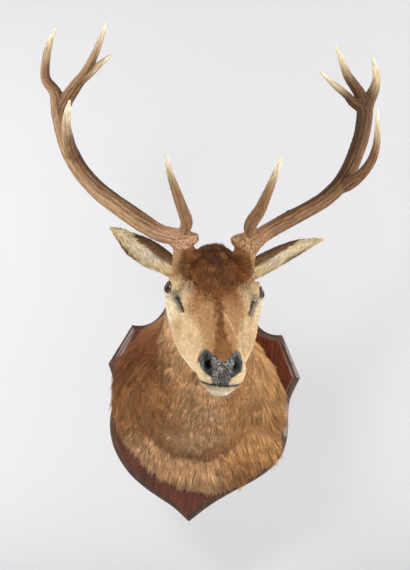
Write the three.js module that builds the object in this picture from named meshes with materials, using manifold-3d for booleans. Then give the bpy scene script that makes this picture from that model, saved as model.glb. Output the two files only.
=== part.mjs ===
// Red deer stag, head and neck, mounted on a wooden shield.
//
// Units are millimetres and +Z is up. The wall is the plane Y = 0, the stag
// looks out along -Y and +X is to the right of someone facing it. The origin
// is on the flat back of the shield.
//
// The head and neck are one loft that is built straight ahead of the shield,
// then turned to the right and tilted, and last parted with thin cuts.

import * as THREE from 'three';
import { mergeVertices } from 'three/addons/utils/BufferGeometryUtils.js';
import Module from 'manifold-3d';

const wasm = await Module();
wasm.setup();

// ---------------------------------------------------------------- sizes

const GAP = 0.3;                 // clearance between neighbouring pieces

const BOARD_FRONT = 22;          // thickness of the shield

const TURN_START = 24;           // distance from the wall where the neck turns
const TURN_END = 230;
const TURN = THREE.MathUtils.degToRad(16);
const TILT = THREE.MathUtils.degToRad(-2.2);
const TILT_HEIGHT = 178;
const TILT_FROM = 60;            // where along the neck the tilt begins
const TILT_OVER = 240;           // and over what length it grows

const PITCH = THREE.MathUtils.degToRad(31);  // face axis below the horizontal
const EYE_DEPTH = 392;           // eye line, measured out from the wall
const EYE_HEIGHT = 178;

const EYE_RADIUS = 17.5;
const EYE_ACROSS = 71.5;         // eye centre from the middle of the head

const BURR_ALONG = -64;          // antler base in head coordinates
const BURR_UP = 60;
const BURR_ACROSS = 54;

// Cuts across the neck and head: a point on the cut and a point it faces. The
// first two are (across, out, up), the others are in head coordinates.
const CAPE_CUT = [[0, 112, 20], [0, 122, 20]];
const THROAT_CUT = [[0, 313, 130], [0, 323, 131]];
const MUZZLE_CUT = [[104, -30, 0], [112, -32, 0]];
const MOUTH_CUT = [[150, -68, 0], [150.6, -60, 0]];

const RING_POINTS = 24;          // points round each ring of the body loft
const RINGS_PER_SPAN = 2;
const EAR_RINGS = 10;            // rings along each ear
const EAR_CELLS = 6;             // cells across each face of an ear

// ---------------------------------------------------------------- colours

const FUR_BROWN = 0x8a5c3b;
const FUR_PALE = 0xb5916a;
const FACE_TAN = 0xb08a62;
const EAR_CREAM = 0xc9b79c;
const EYE_DARK = 0x1e120c;
const ANTLER_BROWN = 0x7d6248;
const ANTLER_TIP = 0xd8ccb4;
const MAHOGANY = 0x4a2419;

const FUR_ROUGHNESS = 0.95;
const NOSE_ROUGHNESS = 0.9;
const ANTLER_ROUGHNESS = 0.6;
const GLASS_ROUGHNESS = 0.08;
const WOOD_ROUGHNESS = 0.35;

// ---------------------------------------------------------------- helpers

const lerp = (a, b, t) => a + (b - a) * t;

function smooth(t) {
  const c = THREE.MathUtils.clamp(t, 0, 1);
  return c * c * (3 - 2 * c);
}

// Catmull-Rom through rows of numbers; t runs from 0 to rows.length - 1.
function rowAt(rows, t) {
  const last = rows.length - 1;
  const i = Math.min(Math.floor(t), last - 1);
  const f = t - i;
  const before = rows[Math.max(i - 1, 0)];
  const here = rows[i];
  const next = rows[i + 1];
  const after = rows[Math.min(i + 2, last)];
  return here.map((value, k) => {
    const m0 = (next[k] - before[k]) / 2;
    const m1 = (after[k] - value) / 2;
    const a = 2 * value - 2 * next[k] + m0 + m1;
    const b = -3 * value + 3 * next[k] - 2 * m0 - m1;
    return ((a * f + b) * f + m0) * f + value;
  });
}

// Straight-ahead coordinates (across, out from the wall, up) to the turned pose.
function turned(across, out, up) {
  const tilt = TILT * smooth((out - TILT_FROM) / TILT_OVER);
  const rise = up - TILT_HEIGHT;
  const x = across * Math.cos(tilt) + rise * Math.sin(tilt);
  const z = TILT_HEIGHT + rise * Math.cos(tilt) - across * Math.sin(tilt);
  const share = THREE.MathUtils.clamp((out - TURN_START) / (TURN_END - TURN_START), 0, 1);
  const angle = TURN * share;
  const radius = (TURN_END - TURN_START) / TURN;
  const beyond = Math.max(out - TURN_END, 0);
  const cx = radius * (1 - Math.cos(angle)) + beyond * Math.sin(angle);
  const cy = Math.min(out, TURN_START) + radius * Math.sin(angle) + beyond * Math.cos(angle);
  return new THREE.Vector3(cx + x * Math.cos(angle), -cy + x * Math.sin(angle), z);
}

// Head coordinates: along the face, up from the eye line, across.
function outAndUp(along, up) {
  return [
    EYE_DEPTH + along * Math.cos(PITCH) + up * Math.sin(PITCH),
    EYE_HEIGHT - along * Math.sin(PITCH) + up * Math.cos(PITCH),
  ];
}

function onHead(along, up, across) {
  const [out, height] = outAndUp(along, up);
  return turned(across, out, height);
}

// A closed mesh through a stack of rings that all have the same point count.
function ringSkin(rings, capStart, capEnd) {
  const count = rings[0].length;
  const positions = [];
  const indices = [];
  for (const ring of rings) {
    for (const p of ring) {
      positions.push(p.x, p.y, p.z);
    }
  }
  for (let r = 0; r < rings.length - 1; r += 1) {
    for (let i = 0; i < count; i += 1) {
      const j = (i + 1) % count;
      const a = r * count + i;
      const b = r * count + j;
      indices.push(a, a + count, b, b, a + count, b + count);
    }
  }
  positions.push(capStart.x, capStart.y, capStart.z);
  positions.push(capEnd.x, capEnd.y, capEnd.z);
  const startIndex = rings.length * count;
  const base = (rings.length - 1) * count;
  for (let i = 0; i < count; i += 1) {
    const j = (i + 1) % count;
    indices.push(startIndex, i, j);
    indices.push(startIndex + 1, base + j, base + i);
  }
  const geometry = new THREE.BufferGeometry();
  geometry.setAttribute('position', new THREE.Float32BufferAttribute(positions, 3));
  geometry.setIndex(indices);
  return geometry;
}

function middle(ring) {
  const sum = new THREE.Vector3();
  for (const p of ring) {
    sum.add(p);
  }
  return sum.divideScalar(ring.length);
}

function enclosedVolume(points, triangles) {
  const [a, b, c] = [new THREE.Vector3(), new THREE.Vector3(), new THREE.Vector3()];
  let total = 0;
  for (let i = 0; i < triangles.length; i += 3) {
    a.fromArray(points, triangles[i] * 3);
    b.fromArray(points, triangles[i + 1] * 3);
    c.fromArray(points, triangles[i + 2] * 3);
    total += a.dot(b.cross(c)) / 6;
  }
  return total;
}

// A closed mesh as a solid, turned right side out if it was inside out.
function toSolid(geometry) {
  const bare = geometry.clone();
  bare.deleteAttribute('normal');
  bare.deleteAttribute('uv');
  const merged = mergeVertices(bare, 1e-4);
  const points = new Float32Array(merged.attributes.position.array);
  const triangles = new Uint32Array(merged.index.array);
  if (enclosedVolume(points, triangles) < 0) {
    for (let i = 0; i < triangles.length; i += 3) {
      [triangles[i + 1], triangles[i + 2]] = [triangles[i + 2], triangles[i + 1]];
    }
  }
  return new wasm.Manifold(new wasm.Mesh({
    numProp: 3,
    vertProperties: points,
    triVerts: triangles,
  }));
}

function toGeometry(solid) {
  const mesh = solid.getMesh();
  const geometry = new THREE.BufferGeometry();
  geometry.setAttribute('position', new THREE.BufferAttribute(mesh.vertProperties, 3));
  geometry.setIndex(new THREE.BufferAttribute(mesh.triVerts, 1));
  geometry.computeVertexNormals();
  return geometry;
}

// A large block whose one face passes through a point, facing against normal.
function halfSpace(point, normal, inset) {
  const size = 2400;
  const block = new THREE.BoxGeometry(size, size, size);
  const direction = normal.clone().normalize();
  const turn = new THREE.Quaternion().setFromUnitVectors(new THREE.Vector3(0, 0, 1), direction);
  const centre = point.clone().addScaledVector(direction, size / 2 + inset);
  block.applyMatrix4(new THREE.Matrix4().compose(centre, turn, new THREE.Vector3(1, 1, 1)));
  return toSolid(block);
}

// The main body of a solid, without slivers cut loose from it.
function mainBody(solid) {
  const bodies = solid.decompose();
  return bodies.reduce((best, body) => (body.volume() > best.volume() ? body : best));
}

function parted(solid, point, normal) {
  const ahead = solid.intersect(halfSpace(point, normal, GAP / 2));
  const behind = solid.intersect(halfSpace(point, normal.clone().negate(), GAP / 2));
  return [ahead, behind];
}

// ---------------------------------------------------------------- head and neck

// Each row: top line and bottom line in side view (out, up), then half-widths
// near the top, above the middle, below the middle and near the bottom, and
// how far the ring leans across for each millimetre of height.
const NECK_ROWS = [
  [22.3, 166, 22.3, -190, 178, 180, 177, 172, -0.09],
  [46, 170, 50, -187, 170, 177, 177, 166, -0.085],
  [75, 173, 80, -158, 150, 168, 167, 142, -0.07],
  [105, 177, 118, -129, 128, 152, 152, 120, -0.055],
  [140, 183, 158, -114, 108, 134, 140, 112, -0.04],
  [178, 191, 200, -103, 92, 118, 130, 108, -0.025],
  [214, 204, 244, -82, 82, 105, 118, 103, -0.015],
  [252, 221, 281, -46, 75, 96, 107, 96, 0],
  [287, 237, 311, -6, 72, 90, 98, 90, 0],
  [317, 250, 331, 37, 70, 86, 92, 87, 0],
];

// The same for the head, with both lines in head coordinates (along, up).
const HEAD_ROWS = [
  [-86, 57, 6, -114, 66, 82, 86, 84],
  [-60, 66, 24, -115, 68, 84, 84, 83],
  [-28, 60, 42, -117, 68, 86, 82, 82],
  [2, 48, 60, -117, 58, 86, 81, 80],
  [32, 37, 80, -115, 46, 76, 79, 78],
  [62, 28, 100, -111, 38, 62, 73, 75],
  [95, 20, 121, -106, 33, 51, 65, 69],
  [128, 12, 143, -102, 30, 45, 55, 61],
  [160, 4, 165, -98, 29, 40.5, 47, 50],
  [190, -4, 186, -97, 30, 41, 41, 38],
  [212, -10, 203, -100, 33, 42, 38.5, 31],
  [226, -16, 216, -98, 34, 40.5, 35.5, 27.5],
  [235, -26, 226, -89, 31, 35, 31, 23],
  [240, -38, 232, -78, 22, 25.5, 22, 16],
];
const NOSE_END = [240, -58];

const SIDE_LEVELS = [0.1, 0.37, 0.63, 0.9];
const ROUNDING = 0.45;

function bodyRows() {
  const rows = NECK_ROWS.map((row) => [...row]);
  for (const [a0, b0, a1, b1, ...widths] of HEAD_ROWS) {
    rows.push([...outAndUp(a0, b0), ...outAndUp(a1, b1), ...widths, 0]);
  }
  return rows;
}

// Half-width at a level between the top line (0) and the bottom line (1).
function widthAt(level, widths) {
  const round = Math.pow(Math.max(4 * level * (1 - level), 0), ROUNDING);
  let i = 0;
  while (i < 2 && level > SIDE_LEVELS[i + 1]) {
    i += 1;
  }
  const t = (level - SIDE_LEVELS[i]) / (SIDE_LEVELS[i + 1] - SIDE_LEVELS[i]);
  return round * lerp(widths[i], widths[i + 1], smooth(t));
}

function bodyRing(row) {
  const [topOut, topUp, lowOut, lowUp, w0, w1, w2, w3, lean] = row;
  const ring = [];
  for (let i = 0; i < RING_POINTS; i += 1) {
    const angle = (i / RING_POINTS) * 2 * Math.PI;
    const level = (1 - Math.cos(angle)) / 2;
    const side = i === 0 || i === RING_POINTS / 2 ? 0 : Math.sign(Math.sin(angle));
    const up = lerp(topUp, lowUp, level);
    const across = side * widthAt(level, [w0, w1, w2, w3]) + lean * up;
    ring.push(turned(across, lerp(topOut, lowOut, level), up));
  }
  return ring;
}

function bodySolid() {
  const rows = bodyRows();
  const steps = (rows.length - 1) * RINGS_PER_SPAN;
  const rings = [];
  for (let s = 0; s <= steps; s += 1) {
    rings.push(bodyRing(rowAt(rows, s / RINGS_PER_SPAN)));
  }
  const nose = onHead(NOSE_END[0], NOSE_END[1], 0);
  return toSolid(ringSkin(rings, middle(rings[0]), nose));
}

// ---------------------------------------------------------------- tubes

// A tapered tube through rows of (point, radius) with a domed far end; grow
// makes it fatter all over.
function tube(rows, { sides = 10, rings = 12, grow = 0 } = {}) {
  const flat = rows.map(([p, r]) => [p.x, p.y, p.z, r]);
  const span = flat.length - 1;
  const stack = [];
  let across = new THREE.Vector3(0, 1, 0);
  let first = null;
  let last = null;
  for (let s = 0; s <= rings; s += 1) {
    const t = (s / rings) * span;
    const [x, y, z, r] = rowAt(flat, t);
    const step = 0.02;
    const a = rowAt(flat, Math.max(t - step, 0));
    const b = rowAt(flat, Math.min(t + step, span));
    const along = new THREE.Vector3(b[0] - a[0], b[1] - a[1], b[2] - a[2]).normalize();
    across = across.clone().addScaledVector(along, -across.dot(along)).normalize();
    const other = new THREE.Vector3().crossVectors(along, across);
    const centre = new THREE.Vector3(x, y, z);
    const ring = [];
    for (let i = 0; i < sides; i += 1) {
      const angle = (-i / sides) * 2 * Math.PI;
      const p = centre.clone();
      p.addScaledVector(across, (r + grow) * Math.cos(angle));
      p.addScaledVector(other, (r + grow) * Math.sin(angle));
      ring.push(p);
    }
    stack.push(ring);
    if (s === 0) {
      first = centre.clone().addScaledVector(along, -grow);
    }
    last = centre.clone().addScaledVector(along, (r + grow) * 0.8);
  }
  return toSolid(ringSkin(stack, first, last));
}

// ---------------------------------------------------------------- antlers

// Antler coordinates start at the burr: outward, forward and up, level with
// the ground and turned with the head. Every row ends with a radius, and fork
// is the row of the beam where the trez tine leaves it.
const LEFT_ANTLER = {
  side: -1,
  fork: 8,
  beam: [[2, -4, 5, 24], [9, -2, 9, 27], [17, -2, 12, 21], [28, -4, 15, 16.5], [51, -9, 20, 16.5],
    [96, -30, 47, 18], [158, -75, 93, 17], [197, -105, 133, 16.5], [222, -126, 172, 16.5],
    [236, -138, 206, 16], [246, -144, 240, 16.5], [250, -144, 266, 18]],
  brow: [[10, 6, 16, 9], [4, 26, 37, 11.5], [19, 55, 62, 10.4], [37, 90, 89, 8.2],
    [51, 118, 112, 5.6], [60, 144, 135, 2]],
  trez: [[218, -122, 166, 10], [222, -98, 170, 13], [230, -70, 184, 11], [236, -45, 207, 9],
    [236, -28, 230, 6.2], [234, -19, 249, 2.4]],
  outer: [[250, -144, 268, 13], [262, -143, 290, 11.5], [283, -140, 316, 9.6], [285, -128, 356, 8.2],
    [279, -114, 388, 5], [271, -105, 406, 2]],
  inner: [[249, -144, 266, 13], [236, -140, 285, 12.5], [225, -133, 304, 11.5], [207, -118, 333, 9.6],
    [193, -95, 366, 7.4], [184, -76, 396, 4.8], [178, -62, 416, 2]],
  third: [[222, -130, 306, 8], [210, -124, 319, 8.4], [197, -118, 332, 7.6], [181, -111, 349, 6],
    [162, -99, 366, 2]],
};

const RIGHT_ANTLER = {
  side: 1,
  fork: 8,
  beam: [[2, -4, 5, 24], [8, -2, 12, 27], [16, -2, 18, 21.5], [28, -6, 26, 16], [46, -17, 41, 15.2],
    [80, -38, 66, 15.4], [121, -68, 95, 15], [158, -92, 124, 15.5], [188, -112, 158, 16],
    [208, -127, 195, 16], [222, -137, 235, 15.8], [231, -143, 270, 15.8], [234, -145, 306, 16],
    [233, -145, 330, 16.5]],
  brow: [[10, 6, 18, 9], [5, 23, 41, 12.5], [15, 48, 63, 11.3], [22, 82, 88, 9.2],
    [28, 112, 115, 7], [34, 141, 147, 2.5]],
  trez: [[190, -114, 152, 11], [204, -100, 160, 13], [223, -84, 177, 10.8], [237, -62, 202, 9.2],
    [240, -42, 230, 7.5], [236, -25, 260, 5.4], [231, -13, 290, 2]],
  outer: [[238, -145, 334, 11], [249, -145, 359, 10.5], [252, -143, 383, 8.2], [247, -137, 403, 6.3],
    [239, -131, 421, 2.8]],
  inner: [[228, -144, 338, 12], [222, -143, 350, 12], [210, -138, 361, 11], [191, -125, 378, 9.5],
    [173, -108, 403, 6], [156, -91, 427, 2]],
  third: [[232, -144, 318, 11], [218, -141, 326, 11], [206, -137, 331, 9.8], [193, -129, 340, 8],
    [166, -115, 353, 6.6], [131, -96, 372, 2]],
};

function antlerPoint(antler, [outward, forward, up]) {
  const base = onHead(BURR_ALONG, BURR_UP, antler.side * BURR_ACROSS);
  const outwards = new THREE.Vector3(Math.cos(TURN), Math.sin(TURN), 0).multiplyScalar(antler.side);
  const forwards = new THREE.Vector3(Math.sin(TURN), -Math.cos(TURN), 0);
  return base.addScaledVector(outwards, outward).addScaledVector(forwards, forward)
    .add(new THREE.Vector3(0, 0, up));
}

function antlerRows(antler, name) {
  return antler[name].map((row) => [antlerPoint(antler, row), row[3]]);
}

function firstDirection(rows) {
  return rows[1][0].clone().sub(rows[0][0]).normalize();
}

// The skin-covered bone under the burr, ending just short of it.
const PEDICLE = [[-22, 2, -44, 30], [-8, -3, -12, 27.5], [6, -4, 12, 24.5]];

function pedicle(antler) {
  const beam = antlerRows(antler, 'beam');
  const start = beam[0][0];
  const rows = PEDICLE.map((row) => [antlerPoint(antler, row), row[3]]);
  const away = firstDirection(beam).negate();
  return tube(rows, { sides: 14, rings: 5 }).intersect(halfSpace(start, away, GAP));
}

// The antler is parted at its main forks: brow tine, trez tine and crown.
function antlerPieces(antler) {
  const beamRows = antlerRows(antler, 'beam');
  const beamShape = { sides: 12, rings: (beamRows.length - 1) * 2 };
  const beam = tube(beamRows, beamShape);
  const grownBeam = tube(beamRows, { ...beamShape, grow: GAP });
  const [forkPoint] = beamRows[antler.fork];
  const forkDirection = beamRows[antler.fork + 1][0].clone().sub(beamRows[antler.fork - 1][0]);
  const [upper, lower] = parted(beam, forkPoint, forkDirection);
  const tine = (name, grow) => tube(antlerRows(antler, name), { sides: 9, rings: 8, grow });
  const outer = tine('outer', 0).subtract(grownBeam);
  const inner = tine('inner', 0).subtract(grownBeam).subtract(tine('outer', GAP));
  const third = tine('third', 0).subtract(grownBeam).subtract(tine('outer', GAP))
    .subtract(tine('inner', GAP));
  return {
    beam_lower: lower,
    beam_upper: upper,
    brow_tine: mainBody(tine('brow', 0).subtract(grownBeam)),
    trez_tine: mainBody(tine('trez', 0).subtract(grownBeam)),
    crown_outer_tine: mainBody(outer),
    crown_inner_tine: mainBody(inner),
    crown_third_tine: mainBody(third),
    grownBeam,
  };
}

// ---------------------------------------------------------------- ears

// Rows along the ear in head coordinates: along, up, across, then the
// half-width of the cup and how far round its edges curl, in radians.
const LEFT_EAR = [
  [-66, 4, -56, 16, 1.3],
  [-82, 15, -80, 22, 1.15],
  [-98, 28, -112, 25.5, 0.9],
  [-112, 37, -143, 22.5, 0.7],
  [-123, 49, -170, 13.5, 0.55],
  [-130, 57, -188, 3, 0.4],
];
const RIGHT_EAR = [
  [-66, 6, 56, 16, 1.3],
  [-82, 19, 80, 21, 1.15],
  [-98, 32, 114, 22, 0.9],
  [-112, 45, 149, 18.5, 0.7],
  [-123, 54, 181, 11.5, 0.55],
  [-130, 61, 207, 2.5, 0.4],
];
const EAR_THICKNESS = 7;
const EAR_OPENING = [0.25, 0.88, -0.4];     // outward, forward, up

function earSolid(table, side, grow) {
  const rings = EAR_RINGS;
  const cells = EAR_CELLS;
  const span = table.length - 1;
  const outwards = new THREE.Vector3(Math.cos(TURN), Math.sin(TURN), 0).multiplyScalar(side);
  const forwards = new THREE.Vector3(Math.sin(TURN), -Math.cos(TURN), 0);
  const opening = new THREE.Vector3(0, 0, EAR_OPENING[2]);
  opening.addScaledVector(outwards, EAR_OPENING[0]).addScaledVector(forwards, EAR_OPENING[1]);
  const centreAt = (t) => onHead(...rowAt(table, THREE.MathUtils.clamp(t, 0, span)).slice(0, 3));
  const positions = [];
  for (let s = 0; s <= rings; s += 1) {
    const t = (s / rings) * span;
    const row = rowAt(table, t);
    const along = centreAt(t + 0.05).sub(centreAt(t - 0.05)).normalize();
    const open = opening.clone().addScaledVector(along, -opening.dot(along)).normalize();
    const wide = new THREE.Vector3().crossVectors(along, open);
    const centre = centreAt(t);
    if (s === 0) {
      centre.addScaledVector(along, -grow);
    }
    const [, , , halfWidth, curl] = row;
    const radius = halfWidth / Math.sin(curl);
    const thin = Math.min(EAR_THICKNESS / 2, halfWidth * 0.7) + grow;
    const reach = curl + grow / radius;
    const loop = [];
    for (const face of [1, -1]) {
      for (let i = 0; i <= cells; i += 1) {
        const v = face === 1 ? (i / cells) * 2 - 1 : 1 - (i / cells) * 2;
        const edge = Math.sqrt(Math.max(1 - Math.pow(Math.abs(v), 6), 0));
        const r = radius + face * (thin * edge + (edge < 0.01 ? 0.4 : 0));
        const angle = v * reach;
        const p = centre.clone();
        p.addScaledVector(wide, r * Math.sin(angle));
        p.addScaledVector(open, radius - r * Math.cos(angle));
        loop.push(p);
      }
    }
    positions.push(...loop);
  }
  const count = 2 * (cells + 1);
  const indices = [];
  for (let s = 0; s < rings; s += 1) {
    for (let i = 0; i < count; i += 1) {
      const j = (i + 1) % count;
      const a = s * count + i;
      const b = s * count + j;
      indices.push(a, a + count, b, b, a + count, b + count);
    }
  }
  for (let i = 0; i < cells; i += 1) {
    const k = count - 1 - i;
    indices.push(i, i + 1, k, i + 1, k - 1, k);
    const top = rings * count;
    indices.push(top + i, top + k, top + i + 1, top + i + 1, top + k, top + k - 1);
  }
  const geometry = new THREE.BufferGeometry();
  const flat = positions.flatMap((p) => [p.x, p.y, p.z]);
  geometry.setAttribute('position', new THREE.Float32BufferAttribute(flat, 3));
  geometry.setIndex(indices);
  return toSolid(geometry);
}

// ---------------------------------------------------------------- eyes

function eyeCentre(side) {
  return onHead(0, 0, side * EYE_ACROSS);
}

function eyeBall(side, grow) {
  const ball = new THREE.SphereGeometry(EYE_RADIUS + grow, 14, 9);
  const centre = eyeCentre(side);
  ball.translate(centre.x, centre.y, centre.z);
  return toSolid(ball);
}

// ---------------------------------------------------------------- shield

// Lower edges of the shield from its tip to its corner: across, up. The two
// sides were cut by hand and differ by a few millimetres.
const SHIELD_RIGHT = [[38, -208], [81, -178], [123, -151], [152, -127], [172, -99], [181, -64],
  [180, -25], [181, 14], [198, 60]];
const SHIELD_LEFT = [[-35, -221], [-66, -204], [-98, -186], [-131, -162], [-158, -131], [-176, -97],
  [-184, -55], [-180, 10], [-198, 60]];
const SHIELD_TIP = [-4, -245];
const SHOULDER = [155.3, 143];
const SCOOP_TOP = [82, 210];
const SHIELD_TOP = 242;

// Moulding from the wall to the front face: how far in, how far out.
const SHIELD_PROFILE = [[0, 0], [0, 10], [4, 13.5], [9, 16], [11, 20], [13, BOARD_FRONT]];

function shieldOutline() {
  const vector = ([x, y]) => new THREE.Vector2(x, y);
  const tip = vector(SHIELD_TIP);
  const right = new THREE.SplineCurve([tip, ...SHIELD_RIGHT.map(vector)]);
  const left = new THREE.SplineCurve([...SHIELD_LEFT.map(vector).reverse(), tip]);
  const scoop = new THREE.CubicBezierCurve(
    vector(SHOULDER), vector([118, 138]), vector([92, 160]), vector(SCOOP_TOP));
  const crown = new THREE.CubicBezierCurve(
    vector(SCOOP_TOP), vector([52, 212]), vector([26, 220]), vector([0, SHIELD_TOP]));
  const top = [...scoop.getPoints(6), ...crown.getPoints(4).slice(1)];
  const mirrored = top.slice(0, -1).reverse().map((p) => new THREE.Vector2(-p.x, p.y));
  return [...right.getPoints(20), ...top, ...mirrored, ...left.getPoints(20).slice(0, -1)];
}

// The outline moved inwards by a distance, corner by corner.
function insetOutline(points, distance) {
  const count = points.length;
  return points.map((p, i) => {
    const before = p.clone().sub(points[(i + count - 1) % count]).normalize();
    const after = points[(i + 1) % count].clone().sub(p).normalize();
    const inwards = new THREE.Vector2(-before.y - after.y, before.x + after.x).normalize();
    const slant = Math.max(inwards.dot(new THREE.Vector2(-after.y, after.x)), 0.5);
    return p.clone().addScaledVector(inwards, distance / slant);
  });
}

function shieldSolid() {
  const outline = shieldOutline();
  const rings = SHIELD_PROFILE.map(([inset, out]) =>
    insetOutline(outline, inset).map((p) => new THREE.Vector3(p.x, -out, p.y)));
  const back = new THREE.Vector3(0, 0, 0);
  const front = new THREE.Vector3(0, -BOARD_FRONT, 0);
  return toSolid(ringSkin(rings, back, front));
}

// ---------------------------------------------------------------- assembly

const stag = new THREE.Group();
stag.name = 'red_deer_stag_head_mount';

function addPiece(name, solid, colour, roughness, metalness = 0) {
  const geometry = toGeometry(solid);
  geometry.computeBoundingBox();
  const centre = geometry.boundingBox.getCenter(new THREE.Vector3());
  geometry.translate(-centre.x, -centre.y, -centre.z);
  const material = new THREE.MeshStandardMaterial({ color: colour, roughness, metalness });
  const mesh = new THREE.Mesh(geometry, material);
  mesh.name = name;
  mesh.position.copy(centre);
  stag.add(mesh);
}

// The point and direction of a cut.
function acrossNeck([at, facing]) {
  const point = turned(...at);
  return [point, turned(...facing).sub(point)];
}

function acrossHead([at, facing]) {
  const point = onHead(...at);
  return [point, onHead(...facing).sub(point)];
}

const SIDES = [
  { name: 'left', side: -1, antler: LEFT_ANTLER, ear: LEFT_EAR },
  { name: 'right', side: 1, antler: RIGHT_ANTLER, ear: RIGHT_EAR },
];

// The whole body with its pedicles, eye sockets and pockets for the ears.
let body = bodySolid();
for (const { side, antler, ear, name } of SIDES) {
  body = body.add(pedicle(antler));
  body = body.subtract(eyeBall(side, GAP));
  body = body.subtract(earSolid(ear, side, GAP));
  const { grownBeam, ...pieces } = antlerPieces(antler);
  body = body.subtract(grownBeam);
  for (const [piece, solid] of Object.entries(pieces)) {
    const colour = piece.includes('tine') ? ANTLER_TIP : ANTLER_BROWN;
    addPiece(`${name}_antler_${piece}`, solid, colour, ANTLER_ROUGHNESS);
  }
  addPiece(`${name}_ear`, earSolid(ear, side, 0), EAR_CREAM, FUR_ROUGHNESS);
  addPiece(`${name}_eye`, eyeBall(side, 0), EYE_DARK, GLASS_ROUGHNESS);
}

const [aheadOfCape, cape] = parted(body, ...acrossNeck(CAPE_CUT));
const [wholeHead, neck] = parted(aheadOfCape, ...acrossNeck(THROAT_CUT));
const [wholeMuzzle, skull] = parted(wholeHead, ...acrossHead(MUZZLE_CUT));
const [muzzle, jaw] = parted(wholeMuzzle, ...acrossHead(MOUTH_CUT));

addPiece('shield_board', shieldSolid(), MAHOGANY, WOOD_ROUGHNESS);
addPiece('cape', cape, FUR_PALE, FUR_ROUGHNESS);
addPiece('neck', neck, FUR_BROWN, FUR_ROUGHNESS);
addPiece('skull', skull, FACE_TAN, FUR_ROUGHNESS);
addPiece('muzzle', muzzle, FACE_TAN, NOSE_ROUGHNESS);
addPiece('lower_jaw', jaw, FACE_TAN, NOSE_ROUGHNESS);

export default stag;
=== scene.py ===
"""Looks of the red deer stag head mount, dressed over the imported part.

Lengths in the tables are millimetres in the part's frame; meshes are made in metres.
Head coordinates are a (along the face), b (up) and c (across), from between the eyes.
One skin with its coat replaces the flesh, each antler is one grown piece, the eyes
are glass and the shield is polished mahogany.
"""

import math

import bmesh
import bpy
import numpy as np
from mathutils import Matrix, Vector
from mathutils.geometry import delaunay_2d_cdt
from mathutils.kdtree import KDTree


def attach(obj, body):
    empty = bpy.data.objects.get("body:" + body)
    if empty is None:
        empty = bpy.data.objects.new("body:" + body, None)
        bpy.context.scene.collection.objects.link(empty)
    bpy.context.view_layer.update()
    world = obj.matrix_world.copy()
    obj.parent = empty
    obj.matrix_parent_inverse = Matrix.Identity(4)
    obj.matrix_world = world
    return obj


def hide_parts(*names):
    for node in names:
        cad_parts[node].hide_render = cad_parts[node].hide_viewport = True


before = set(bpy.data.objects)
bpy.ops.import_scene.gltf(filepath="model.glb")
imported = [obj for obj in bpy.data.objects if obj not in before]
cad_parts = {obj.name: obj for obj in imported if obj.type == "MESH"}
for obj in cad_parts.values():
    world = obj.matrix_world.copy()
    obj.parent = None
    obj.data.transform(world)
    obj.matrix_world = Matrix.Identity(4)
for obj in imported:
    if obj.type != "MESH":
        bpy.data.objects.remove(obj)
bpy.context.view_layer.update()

# ---- sizes shared with the part

BOARD_FRONT = 22
TURN_START = 24
TURN_END = 230
TURN = math.radians(16)
TILT = math.radians(-2.2)
TILT_HEIGHT = 178
TILT_FROM = 60
TILT_OVER = 240
PITCH = math.radians(31)
EYE_DEPTH = 392
EYE_HEIGHT = 178
EYE_RADIUS = 17.5
EYE_ACROSS = 71.5
BURR = (-64, 60, 54)
HEAD_RIGID = 300
NECK_LINE_TOP = -86              # where the head meets the neck: along, at the poll
NECK_LINE_UP = 57
NECK_LINE_SLOPE = 0.48           # and how fast that line runs forward going down

# Top line and bottom line (out, up), four half-widths, lean.
NECK_ROWS = [
    [22.3, 166, 22.3, -190, 178, 180, 177, 172, -0.09],
    [46, 170, 50, -187, 170, 177, 177, 166, -0.085],
    [75, 173, 80, -158, 150, 168, 167, 142, -0.07],
    [105, 177, 118, -129, 128, 152, 152, 120, -0.055],
    [140, 183, 158, -114, 108, 134, 140, 112, -0.04],
    [178, 191, 200, -103, 92, 118, 130, 108, -0.025],
    [214, 204, 244, -82, 82, 105, 118, 103, -0.015],
    [252, 221, 281, -46, 75, 96, 107, 96, 0],
    [287, 237, 311, -6, 72, 90, 98, 90, 0],
    [317, 250, 331, 37, 70, 86, 92, 87, 0],
]
# The same in head coordinates (along, up), without lean.
HEAD_ROWS = [
    [-86, 57, 6, -114, 66, 82, 86, 84],
    [-60, 66, 24, -115, 68, 84, 84, 83],
    [-28, 60, 42, -117, 68, 86, 82, 82],
    [2, 48, 60, -117, 58, 86, 81, 80],
    [32, 37, 80, -115, 46, 76, 79, 78],
    [62, 28, 100, -111, 38, 62, 73, 75],
    [95, 20, 121, -106, 33, 51, 65, 69],
    [128, 12, 143, -102, 30, 45, 55, 61],
    [160, 4, 165, -98, 29, 40.5, 47, 50],
    [190, -4, 186, -97, 30, 41, 41, 38],
    [212, -10, 203, -100, 33, 42, 38.5, 31],
    [226, -16, 216, -98, 34, 40.5, 35.5, 27.5],
    [235, -26, 226, -89, 31, 35, 31, 23],
    [240, -38, 232, -78, 22, 25.5, 22, 16],
]
NOSE_END = (240, -58)
SIDE_LEVELS = [0.1, 0.37, 0.63, 0.9]
ROUNDING = 0.45

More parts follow.
